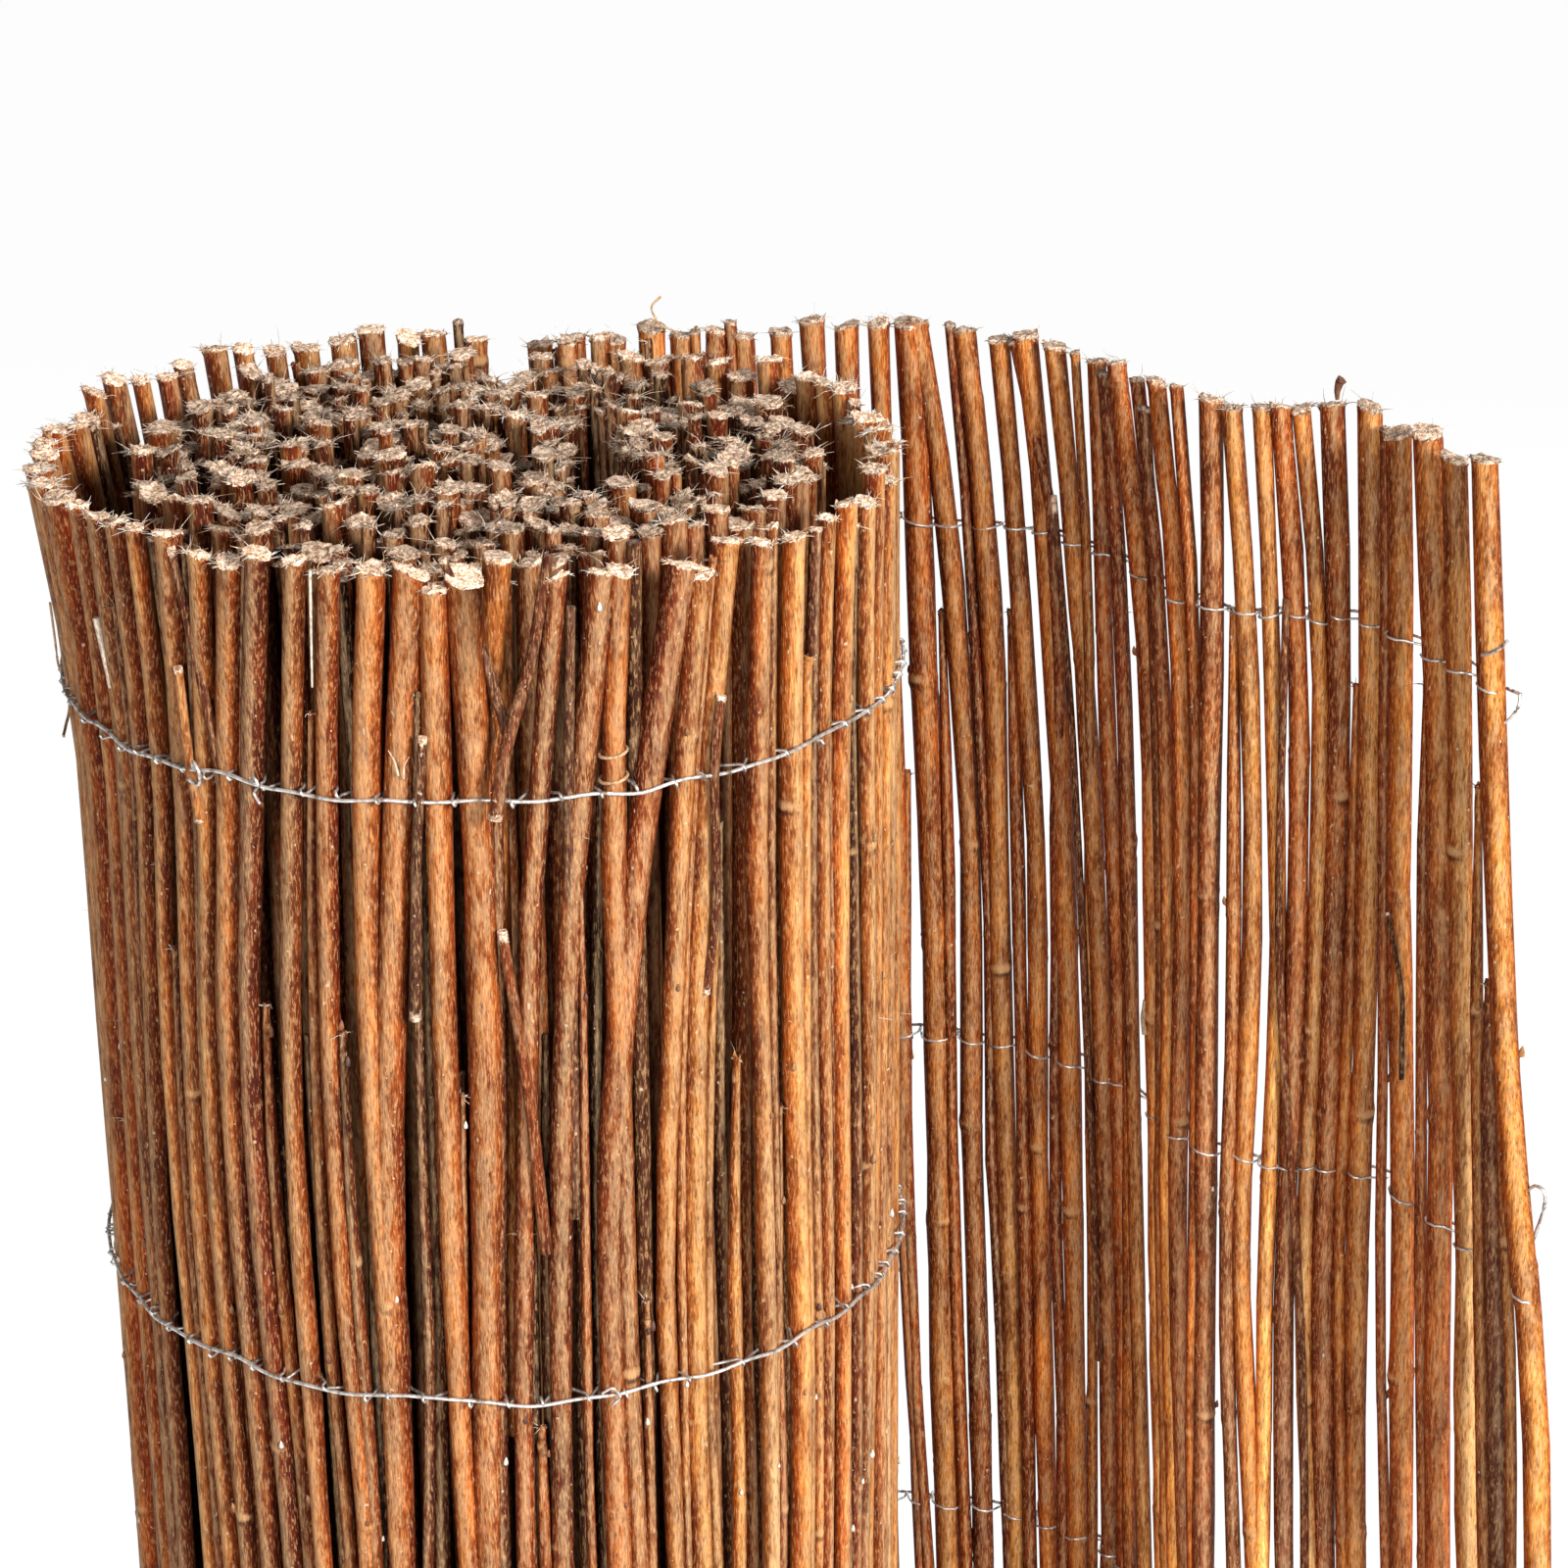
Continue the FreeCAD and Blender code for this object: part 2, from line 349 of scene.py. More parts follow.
def willow_bark():
    """Bark in each rod's own colour: a painted highlight on the crest, painted dark amber shade in the
    crevices.

    Short fibres, fissures, blots and specks lie over it, and pale torn wood shows where it is cut.
    """
    n = material_nodes("willow_bark")
    node_pale = n.value_of("node_pale")
    node_dark = n.value_of("node_dark")
    painted_light_facing = n.value_of("painted_light_facing")
    streak = n.noise(1250.0, 150.0, 4.0, 0.66)
    thread = n.noise(1800.0, 330.0, 2.0, 0.58)
    patch = n.noise(120.0, 24.0, 2.0, 0.6)
    blot = n.noise(420.0, 100.0, 3.0, 0.65)
    speck = n.noise(760.0, 520.0, 0.0, 0.5)
    crumb = n.noise(900.0, 900.0, 2.0, 0.6)

    streaks = n.ramp(streak, [
        (0.34, (0.58, 0.46, 0.36)), (0.50, (0.94, 0.93, 0.90)), (0.66, (1.32, 1.46, 1.50))])
    bark = n.times(n.value_of("rod_colour", "Color"), streaks)
    bark = n.times(bark, n.ramp(patch, [(0.34, 1.26), (0.50, 1.0), (0.66, 0.74)]))
    red = n.times(bark, (0.68, 0.40, 0.28))
    bark = n.over(bark, red, patch, (0.50, 0.0), (0.64, 0.65))
    bark = n.over(bark, red, blot, (0.50, 0.0), (0.66, 0.45))
    painted_light_facing = n.varied(painted_light_facing, blot, 1.1)
    # Painted highlight: paler tan where a rod faces squarely out.
    bark = n.over(bark, n.mix(0.55, bark, (0.74, 0.52, 0.31)), painted_light_facing, (0.74, 0.0), (1.08, 0.62))
    # Painted shade: dark amber towards a rod's sides, in the crevices between rods.
    bark = n.over(bark, n.times(bark, (0.56, 0.27, 0.085)), painted_light_facing, (0.30, 1.0), (0.92, 0.0))
    bark = n.over(bark, n.mix(0.5, bark, (0.76, 0.46, 0.23)), thread, (0.53, 0.0), (0.63, 0.78))
    bark = n.over(bark, (0.050, 0.016, 0.007), thread, (0.34, 0.50), (0.43, 0.0))
    bark = n.over(bark, (0.66, 0.50, 0.36), speck, (0.815, 0.0), (0.84, 0.7))
    bark = n.over(bark, (0.06, 0.022, 0.014), n.varied(node_dark, crumb, 0.5), (0.25, 0.0), (0.60, 0.75))
    bark = n.over(bark, (0.62, 0.38, 0.20), n.varied(node_pale, crumb, 0.5), (0.30, 0.0), (0.65, 0.65))
    bark = n.add("Gamma", Color=bark, Gamma=1.18).outputs["Color"]
    bark = n.times(bark, (1.11, 1.18, 1.20))

    coarse = n.math("MULTIPLY", n.noise(620.0, 620.0, 3.0, 0.65), 0.65)
    fine = n.math("MULTIPLY", n.noise(1700.0, 1700.0, 1.0, 0.5), 0.35)
    grain = n.math("ADD", coarse, fine)
    wood = n.ramp(grain, [
        (0.37, (0.17, 0.085, 0.045)), (0.47, (0.46, 0.295, 0.190)), (0.59, (0.80, 0.655, 0.53))])
    paleness = n.math("MULTIPLY", n.value_of("cut_paleness"), 0.5)
    wood = n.times(wood, n.ramp(paleness, [(0.0, 0.0), (1.0, 2.0)]))

    is_cut = n.ramp(n.varied(n.value_of("cut_wood"), crumb, 0.9), [(0.42, 0.0), (0.60, 1.0)])
    height = n.math("ADD", n.math("MULTIPLY", streak, 0.6), n.math("MULTIPLY", thread, 0.5))
    bump = n.add("Bump", Height=height, Strength=0.8, Distance=0.0006)
    roughness = n.mix(is_cut, n.ramp(streak, [(0.3, 0.70), (0.7, 0.48)]), (0.85, 0.85, 0.85))
    colour = n.mix(is_cut, bark, wood)
    return n.principled(colour, roughness, Normal=bump.outputs["Normal"], Specular_IOR_Level=0.18)


def frayed_wood():
    """Torn fibres: the strand's own colour, lighter and darker along it."""
    n = material_nodes("frayed_wood")
    crumb = n.noise(1200.0, 600.0, 1.0, 0.5)
    colour = n.times(n.value_of("rod_colour", "Color"), n.ramp(crumb, [(0.3, 0.6), (0.7, 1.3)]))
    return n.principled(colour, 0.85)


def galvanised_wire():
    """Drawn zinc-coated wire: light grey metal with dull and rusty places."""
    n = material_nodes("galvanised_wire")
    dull = n.noise(400.0, 400.0, 2.0, 0.6)
    colour = n.ramp(dull, [
        (0.30, (0.20, 0.15, 0.11)), (0.45, (0.56, 0.53, 0.50)), (0.62, (0.92, 0.91, 0.89))])
    return n.principled(colour, n.ramp(dull, [(0.35, 0.6), (0.65, 0.28)]), Metallic=0.65)


bark_finish = (willow_bark(), "willow_bark")
fibre_finish = (frayed_wood(), "willow_bark")
wire_finish = (galvanised_wire(), "galvanised_wire")

# Rods

bark_colours = np.array([
    (0.516, 0.218, 0.057),  # golden
    (0.447, 0.181, 0.046),  # honey
    (0.421, 0.192, 0.071),  # straw brown
    (0.396, 0.135, 0.027),  # amber
    (0.318, 0.094, 0.020),  # orange brown
    (0.241, 0.063, 0.019),  # red brown
    (0.172, 0.050, 0.021),  # dark red
    (0.142, 0.060, 0.037),  # mauve
    (0.095, 0.032, 0.012),  # dark brown
    (0.500, 0.290, 0.130),  # pale straw
])
thick_weights = np.array([0.14, 0.21, 0.19, 0.20, 0.13, 0.09, 0.01, 0.00, 0.00, 0.03])
tail_weights = np.array([0.10, 0.22, 0.26, 0.24, 0.12, 0.06, 0.00, 0.00, 0.00, 0.00])
thin_weights = np.array([0.03, 0.05, 0.06, 0.10, 0.16, 0.20, 0.17, 0.13, 0.10, 0.00])
tail_thin_weights = np.array([0.05, 0.10, 0.14, 0.22, 0.22, 0.18, 0.05, 0.03, 0.01, 0.00])
foot_weights = np.array([0.08, 0.12, 0.13, 0.15, 0.14, 0.16, 0.09, 0.06, 0.02, 0.05])
foot_light = (  # places along the mat, and how light the rods' lower half is there
    [-0.44, -0.38, -0.28, -0.235, 0.0, 0.3, 0.4, 0.495, 0.52, 0.6],
    [1.2, 1.9, 1.9, 1.0, 1.0, 1.12, 1.28, 1.14, 1.33, 1.48])
foot_tint = np.array([1.08, 1.50, 2.50])  # the same for the tail's free part, which is tan low down
roll_shade = np.array([0.90, 0.87, 0.86])
# Painted shade: the inner turns' rods are darker and redder, standing for the shade deep in the roll.
inner_painted_shade = np.array([0.68, 0.56, 0.47])
# The tail's tone, and painted light: its rods are made lighter where they shade each other from the lamps.
tail_tone_and_painted_light = np.array([1.20, 1.08, 0.90])

# Rods whose place can be read: s at full height, at the first wire, at 0.80 m and at 0.66 m, the
# diameter and the height of the top, in mm. The roll's keep one place from 0.80 m down, given once.
# Then the thin rods between those of the tail.
course_heights = np.array([0.66, 0.80, first_wire_height, mat_height])
read_pins = np.array([0.0, *course_heights])
plain_pins = read_pins[[0, 3, 4]]
seen_roll_rods = np.array([
    (254.5, 246, 239, 5.0, 996), (286.5, 278, 270.5, 8.7, 996), (306, 297, 289.5, 6.7, 999),
    (319, 310.5, 303.5, 7.2, 999), (327, 319.5, 313, 6.4, 999), (337, 330.5, 325, 6.4, 999),
    (350.5, 341.5, 333.5, 8.2, 1000), (374, 362, 352, 8.0, 995), (383.5, 371.5, 361, 8.2, 999),
    (395.5, 386, 377.5, 7.6, 998), (406, 398, 391.5, 6.8, 996), (418.5, 411, 404.5, 9.2, 997),
    (430, 421.5, 414.5, 9.8, 996), (444.5, 445.5, 446, 10.9, 994), (472.5, 465, 458.5, 6.6, 993),
    (486.5, 478, 471, 8.0, 993), (491.5, 488.5, 488, 8.0, 993), (514, 500.5, 489, 9.8, 991),
    (519, 512, 506, 7.0, 988), (528.5, 521, 514.5, 7.6, 996), (541, 540.5, 539.5, 7.4, 993),
    (556, 556, 556, 8.2, 991), (573.5, 571.5, 569.5, 5.6, 993), (586.5, 583.5, 581, 7.6, 994),
    (599, 600, 600.5, 6.0, 991), (628, 621, 615, 8.0, 990),
])[:, [0, 1, 2, 2, 3, 4]]
seen_tail_rods = np.array([
    (-419.5, -423.5, -430.5, -448, 8.8, 998), (-402.5, -404.5, -405.5, -405.5, 8.0, 994),
    (-386, -390.5, -391, -387.5, 8.8, 998), (-368, -368, -365.5, -365, 8.1, 993),
    (-350.5, -349.5, -346, -340, 7.6, 998), (-334, -336, -332.5, -327.5, 7.6, 997),
    (-323, -328.5, -326.5, -321, 5.6, 995), (-316.5, -321, -320, -314.5, 6.6, 996),
    (-311, -313, -314, -308.5, 6.0, 995), (-301, -305.5, -306, -301, 7.0, 994),
    (-294.5, -294, -290.5, -287, 8.3, 996), (-268.5, -279.5, -279.5, -274, 6.7, 996),
    (-237.5, -255, -260.5, -259, 6.8, 995), (-225.5, -226, -230.5, -231, 6.2, 993),
    (-202, -210, -218.5, -221.5, 7.3, 994), (-189, -196.5, -202.5, -203.5, 8.1, 996),
    (-177.5, -183.5, -189.5, -188, 7.4, 993), (-164, -171, -173.5, -174, 8.5, 995),
    (-146, -156, -162, -160.5, 8.2, 997), (-143.5, -145.5, -147.5, -147.5, 9.6, 997),
])
seen_rods = 0.001 * np.concatenate([seen_roll_rods, seen_tail_rods])
seen_thin_rods = 0.001 * np.array([
    (-427.5, -427.5, -427.5, -435.5, 3.2, 789), (-421, -421, -422.5, -427.5, 6.3, 821),
    (-417, -417, -416.5, -418, 3.2, 888), (-385.5, -385.5, -381.5, -380, 3.2, 912),
    (-361.5, -360.5, -357, -353, 2.9, 993), (-343.5, -343.5, -339.5, -333, 3.3, 900),
    (-301.5, -301.5, -300.5, -296.5, 4.5, 923), (-282, -287.5, -287, -283.5, 3.7, 998),
    (-256, -270.5, -274, -270, 4.5, 994), (-261, -267.5, -270, -266, 4.0, 985),
    (-231.5, -240.5, -245, -246, 4.6, 990), (-236, -240, -243, -240, 3.8, 905),
    (-214, -219, -217, -215, 3.1, 994), (-184, -202, -200, -196.5, 3.9, 994),
    (-180.5, -180.5, -182.5, -182.5, 4.7, 892), (-159, -164.5, -169, -169, 3.2, 997),
    (-153, -153, -154, -153, 3.6, 889),
])
read_up_to = -0.1456  # the part of the tail in full view, where all rods are read
open_gap = (0.448, 0.469)  # at the front, with no thin rods above the first wire

nodes_per_rod = 9
end_margin = 0.003  # from a rod's end to the nearest ring of its side


def thick_rod_places(first, last, spacing):
    """Places of the thick rods from one s to another: the rods that can be read, and others between.

    Each stretch between two read rods is divided evenly into steps as near the spacing as it allows.
    Short ones stay open, and so does the part of the tail in full view, whose rods are all read.
    """
    seen = seen_rods[(seen_rods[:, 1] > first) & (seen_rods[:, 1] < last)]
    ends = np.array([[s + 0.001, s, s, s, 0.008, 0.996] for s in (first, last)])
    known = np.concatenate([ends[:1], seen, ends[1:]])
    rows = [seen]
    for left, right in zip(known[:-1], known[1:]):
        stretch = right[1] - left[1]
        steps = 1 if stretch < 0.020 or left[1] < read_up_to else int(round(stretch / spacing))
        row = left + (np.arange(1, steps) / steps)[:, None] * (right - left)
        row[:, :4] += normal(0.0, 0.05 * spacing, (steps - 1, 1))
        row[:, 0] += normal(0.0, 0.0012, steps - 1)
        row[:, 4] = uniform(0.0068, 0.0096, steps - 1)
        row[:, 5] = uniform(0.990, 0.9995, steps - 1)
        rows.append(row)
    places = np.concatenate(rows)
    return places[np.argsort(places[:, 1])]


def smooth_course(z, heights, places):
    """Smooth curves through each rod's places at a few heights, for heights as rods x levels.

    Each piece is a cubic whose end slopes are the means of the chords on both sides. Its value is
    the start and end times 2t^3 - 3t^2 + 1 and 3t^2 - 2t^3, plus the slopes times their own cubics.
    Below the lowest height the rod keeps its place.
    """
    chord = np.diff(places, axis=1) / np.diff(heights)
    slope = np.concatenate([0.0 * chord[:, :1], 0.5 * (chord[:, :-1] + chord[:, 1:]), chord[:, -1:]], axis=1)
    piece = np.clip(np.searchsorted(heights, z) - 1, 0, len(heights) - 2)
    span = np.diff(heights)[piece]
    t = np.clip((z - heights[piece]) / span, 0.0, 1.0)
    start, end = np.take_along_axis(places, piece, 1), np.take_along_axis(places, piece + 1, 1)
    start_slope = np.take_along_axis(slope, piece, 1) * span
    end_slope = np.take_along_axis(slope, piece + 1, 1) * span
    rise = t * t * (3.0 - 2.0 * t)
    return start + (end - start) * rise + start_slope * t * (1.0 - t) ** 2 - end_slope * t * t * (1.0 - t)


def light_along(s):
    """The bark's tone along the mat, as factors of red, green and blue between given places.

    It is honey at the tail's free end, redder towards the tail's start and at the middle of the
    roll's front, and straw to the right of that. It is partly the rods' own tone and partly painted
    light and shade that makes up for how the lamps fall along the mat, lighter on the right of the front.
    """
    places = [-0.44, -0.30, -0.25, -0.15, 0.0, 0.27, 0.34, 0.44, 0.495, 0.515, 0.54, 0.575, 0.66,
              outer_turn_length, outer_turn_length + 0.001]
    red = np.interp(s, places, [
        0.91, 1.02, 0.97, 0.93, 0.98, 1.06, 0.98, 0.92, 0.94, 1.13, 1.20, 1.36, 1.44, 1.1, 1.0])
    green = np.interp(s, places, [
        1.02, 1.08, 0.90, 0.83, 1.0, 0.91, 0.95, 0.75, 0.75, 1.36, 1.48, 1.60, 1.72, 1.1, 1.0])
    blue = green * np.interp(s, [-0.44, -0.34, -0.25, -0.18, -0.12, 0.42, 0.46, 0.495, 0.52],
                             [0.98, 0.90, 0.76, 0.72, 0.95, 1.0, 0.82, 0.82, 1.25])
    return np.stack([red, green, blue], axis=-1)


class Rods:
    """A row of rods, as arrays with one entry a rod, and the surfaces worked out from them."""

    def __init__(self, course, top_diameter, foot_diameter, depth, top, weights, shade, paleness, splay):
        count = len(course)
        self.count = count
        self.course = course[:, ::-1]
        self.base_s = course[:, 2]
        self.is_read = (self.base_s < read_up_to)[:, None]
        self.wave_share = np.where(self.is_read, 0.25, 1.0)
        self.top_diameter = top_diameter
        self.foot_diameter = foot_diameter
        self.depth = depth
        self.top = top
        self.foot = np.maximum(uniform(-0.002, 0.006, count), 0.0)
        self.phase = uniform(0.0, 2.0 * np.pi, (count, 4))
        self.sway = uniform(0.2, 1.0, (count, 4)) * np.array([0.0009, 0.0006, 0.0006, 0.0006])
        kind, other = rng.choice(len(bark_colours), (2, count), p=weights / weights.sum())
        lower = rng.choice(len(bark_colours), count, p=foot_weights / foot_weights.sum())
        mix = uniform(0.0, 0.35, (count, 1))
        colour = bark_colours[kind] * (1.0 - mix) + bark_colours[other] * mix
        # The shade given is each row's tone and its painted light: painted shade for the inner turns, the
        # thin rods and the rods behind, painted light for the tail.
        shade = shade * light_along(self.base_s)
        even = np.where(self.base_s < 0.0, 0.5, 1.0)[:, None]
        self.colour = colour * (1.0 + even * uniform(-0.20, 0.18, (count, 1))) * shade
        at_foot = np.interp(self.base_s, *foot_light)[:, None]
        self.foot_colour = 0.12 * colour + 0.88 * bark_colours[lower]
        tint = np.interp(self.base_s, [-0.28, -0.24], [1.0, 0.0])[:, None] * (foot_tint - 1.0) + 1.0
        self.foot_colour = self.foot_colour * uniform(0.85, 1.25, (count, 1)) * shade * at_foot * tint
        spacing = uniform(0.075, 0.120, (count, 1))
        number = np.arange(nodes_per_rod)
        all_nodes = (count, nodes_per_rod)
        places = number + uniform(-0.22, 0.22, all_nodes) + uniform(0.1, 0.9, (count, 1))
        self.nodes = np.minimum(0.03 + spacing * places, top[:, None] - 0.008)
        self.node_strength = uniform(0.15, 1.0, all_nodes)
        hand = np.where(rng.random((count, 1)) < 0.5, 1.0, -1.0)
        zigzag = 0.009 * (1 - 2 * (number % 2)) * hand
        self.kink = zigzag * np.abs(normal(0.0, 1.0, all_nodes)) + normal(0.0, 0.003, all_nodes)
        self.node_angle = uniform(0.0, 2.0 * np.pi, (count, 1)) + number * 2.4
        self.tilt = normal(0.0, 0.16, (count, 2))
        self.splay = uniform(0.02, splay, count)
        self.cut_share = np.where((top_diameter < 0.0036) | (top < 0.980), 0.30, 1.0)
        self.paleness = np.full(count, paleness) * uniform(0.8, 1.2, count)

    def radius(self, z):
        """Radius at heights (rods x levels): an even taper, with a swelling at each node.

        A rod that ends below the first wire thins out over its last 70 mm.
        """
        share = z / mat_height
        plain = 0.5 * (self.foot_diameter[:, None] * (1.0 - share) + self.top_diameter[:, None] * share)
        away = (z[:, :, None] - self.nodes[:, None, :]) / 0.0030
        swelling = 0.04 * (self.node_strength[:, None, :] * np.exp(-away ** 2)).sum(axis=-1)
        wave = 0.04 * np.sin(z * 37.0 + self.phase[:, :1]) + 0.04 * np.sin(z * 91.0 + self.phase[:, 1:2])
        tip = np.clip((self.top[:, None] - z) / 0.07, 0.0, 1.0)
        slim = np.where(self.top[:, None] < 0.95, 0.55 + 0.45 * tip, 1.0)
        return plain * slim * (1.0 + swelling + wave)

    def along(self, z):
        """Place along the mat at heights (rods x levels).

        It is the rod's own course plus how far it wanders, less a smooth curve through what it
        wanders at the foot, the first wire and the top, and for read rods also at the heights
        between, so that every rod passes through the places it was given.
        """
        read, plain = [smooth_course(z, pins, self.wander(np.tile(pins, (self.count, 1))))
                       for pins in (read_pins, plain_pins)]
        pinned = np.where(self.is_read, read, plain)
        return smooth_course(z, course_heights, self.course) + self.wander(z) - pinned

    def wander(self, z):
        """How far the rod strays along the mat at heights (rods x levels).

        It is two slow waves that neighbours share, two small ones of its own, and small kinks at
        the nodes, to one side and the other, with straight stretches between.
        """
        s = self.wave_share * 0.0022 * np.sin(6.0 * z + 16.0 * self.base_s[:, None])
        s = s + self.wave_share * 0.0012 * np.sin(14.0 * z - 37.0 * self.base_s[:, None])
        s = s + self.sway[:, :1] * np.sin(7.0 * z + self.phase[:, :1])
        s = s + self.sway[:, 1:2] * np.sin(17.0 * z + self.phase[:, 1:2])
        bends = (self.kink[:, None, :] * np.abs(z[:, :, None] - self.nodes[:, None, :])).sum(axis=-1)
        return s + bends

    def below(self, z):
        """Depth below the mat's outer face: the rod's radius, its own depth and a small wave."""
        wave = self.wave_share * self.sway[:, 2:3] * (1.0 + np.sin(11.0 * z + self.phase[:, 2:3]))
        return self.radius(z) + self.depth[:, None] + wave

    def centre(self, z):
        """Centre line at heights (rods x levels), and the mat's outward normal there."""
        s = self.along(z)
        point, outward = outer_face(s, z)
        out = top_flare(s, z) - self.below(z)
        return point + outward * out[..., None], outward

    def at_nodes(self, z, turn, above, width):
        """Strength of the nearest node at heights and turns, highest on the side where its bud sits.

        It falls off with height as a bell curve of the given width, centred above the node, and round
        the rod with the square of the cosine. The second value is the same without the fall-off round.
        """
        away = (z[..., None] - self.nodes[:, None, None, :] - above) / width
        near = self.node_strength[:, None, None, :] * np.exp(-away ** 2)
        facing = np.maximum(np.cos(turn[None, None, :, None] - self.node_angle[:, None, None, :]), 0.0) ** 2
        return (near * facing).max(axis=-1), near.max(axis=-1)

    def levels(self, shares, node_rings):
        """Heights of the rings: at shares of the length, and two below and three from each node up."""
        first, last = self.foot[:, None] + end_margin, self.top[:, None] - end_margin
        even = first + shares * (last - first)
        if not node_rings:
            return even
        steps = np.array([-0.0045, -0.0020, 0.0003, 0.0016, 0.0038])
        around = (self.nodes[:, :, None] + steps).reshape(self.count, -1)
        return np.sort(np.concatenate([even, np.clip(around, first, last)], axis=1), axis=1)

    def end_rings(self, radius, end_z, circle, at_top):
        """Four rings that close an end: the rim's outer edge, the rim, a middle ring and a small hub.

        A ring's radius is the rod's times its share, give or take 5%. At the top the cut is tilted,
        so a point's height gains its distance from the centre times the tilt, and it is uneven.
        """
        centre, _ = self.centre(end_z[:, None])
        spread = 1.0 + at_top * self.splay[:, None, None]
        shares = np.array([1.0, 1.0, 0.62, 0.12])[:, None] * spread
        ring = radius[:, None] * shares * (1.0 + normal(0.0, 0.05, (self.count, 4, len(circle))))
        offset = ring[..., None] * circle
        height = np.broadcast_to(end_z[:, None, None], ring.shape)
        if at_top:
            slope = (offset * self.tilt[:, None, None]).sum(axis=-1)
            bumps = normal(0.0, 0.0005, ring.shape) * np.array([0.5, 1.0, 0.6, 0.4])[:, None]
            height = height - np.array([0.0013, 0.0002, 0.0, 0.0003])[:, None] + slope + bumps
        else:
            height = height + np.array([0.001, 0.0, 0.0, 0.0])[:, None]
        rings = raised(centre[:, :, None] + offset, height)
        cut = np.broadcast_to(np.array([0.45, 1.0, 1.0, 1.0])[:, None], ring.shape)
        return (rings, cut) if at_top else (rings[:, ::-1], cut[:, ::-1])

    def surface(self, name, sides, shares, node_rings, strip_rows):
        """The rods' mesh: rings up the side, and at each end a rim, a rough flat and a small hub.

        The rim at the top stands out a little, as a butt does that was hammered or bluntly sawn,
        and the cut is tilted and uneven. A point's painted-light facing is how squarely it faces out of
        the mat, or for read rods to the front, as the cosine of the angle. The bark turns it into a
        painted highlight on the crest and painted shade at the sides.
        """
        z = self.levels(shares, node_rings)
        centre, outward = self.centre(z)
        turn = 2.0 * np.pi * np.arange(sides) / sides
        circle = np.stack([np.cos(turn), np.sin(turn)], axis=-1)
        oval = 1.0 + 0.05 * np.cos(2.0 * turn + self.phase[:, 3, None, None] + 2.0 * z[..., None])
        rough = 1.0 + normal(0.0, 0.026, z.shape + (sides,))
        bulge, _ = self.at_nodes(z[..., None], turn, 0.0, 0.0032)
        radius = self.radius(z)[..., None] * oval
        flat = radius * rough * (1.0 + 0.15 * bulge)
        height = np.broadcast_to(z[..., None], flat.shape)
        side = raised(centre[:, :, None] + flat[..., None] * circle, height)
        foot, foot_cut = self.end_rings(radius[:, 0], self.foot, circle, False)
        top, top_cut = self.end_rings(radius[:, -1], self.top, circle, True)
        rings = np.concatenate([foot, side, top], axis=1)
        cut = np.concatenate([foot_cut, 0.0 * flat, top_cut], axis=1) * self.cut_share[:, None, None]
        middle = rings.mean(axis=2)
        spread = np.linalg.norm(rings[:, :, 0] - middle, axis=-1)
        step = np.hypot(np.diff(middle[..., 2], axis=1), np.diff(spread, axis=1)) + 1e-5
        share = np.concatenate([np.zeros((self.count, 1)), np.cumsum(step, axis=1)], axis=1)
        share /= share[:, -1:]
        height = rings[..., 2]
        pale_facing, pale_round = self.at_nodes(height, turn, 0.0006, 0.0015)
        dark_facing, dark_round = self.at_nodes(height, turn, -0.0022, 0.0016)
        is_read = self.is_read[:, :, None]
        # Painted light: facing out of the mat, or for read rods towards the front, sets the bark's painted
        # highlight and shade.
        painted_light_side = np.where(is_read, np.array([0.0, -1.0]), outward)
        painted_light_facing = np.abs((painted_light_side[:, :, None] * circle).sum(axis=-1))
        painted_light_facing = np.where(is_read, 0.93 * painted_light_facing ** 1.5, painted_light_facing)
        upper = np.clip((height - 0.50) / 0.40, 0.0, 1.0)[..., None]
        colour = self.foot_colour[:, None, None] * (1.0 - upper) + self.colour[:, None, None] * upper
        return grid_mesh(name, rings, share, strip_rows, 3, {
            "rod_colour": colour,
            "cut_wood": cut,
            "node_pale": (0.45 * pale_round + 0.60 * pale_facing) * (1.0 - cut),
            "node_dark": (0.24 * dark_round + 0.50 * dark_facing) * (1.0 - cut),
            "painted_light_facing": np.concatenate([painted_light_facing[:, :1]] * 4 + [painted_light_facing] + [painted_light_facing[:, -1:]] * 4, axis=1),
            "cut_paleness": self.paleness[:, None, None] * uniform(0.75, 1.25, height.shape)})


def side_by_side(places):
    """Depths at which crowded rods just touch: every second rod goes back until it clears its neighbours.

    Two rods touch when the distance along the mat and the distance in depth, as the sides of a right
    angle, make the sum of their radii.
    """
    reach = 0.5 * (places[1:, 4] + places[:-1, 4])
    back = np.sqrt(np.maximum(reach ** 2 - np.diff(places[:, 1]) ** 2, 0.0))
    needed = np.minimum(np.maximum(np.append(0.0, back), np.append(back, 0.0)), 0.006)
    return np.where(np.arange(len(places)) % 2 == 1, needed, 0.0)


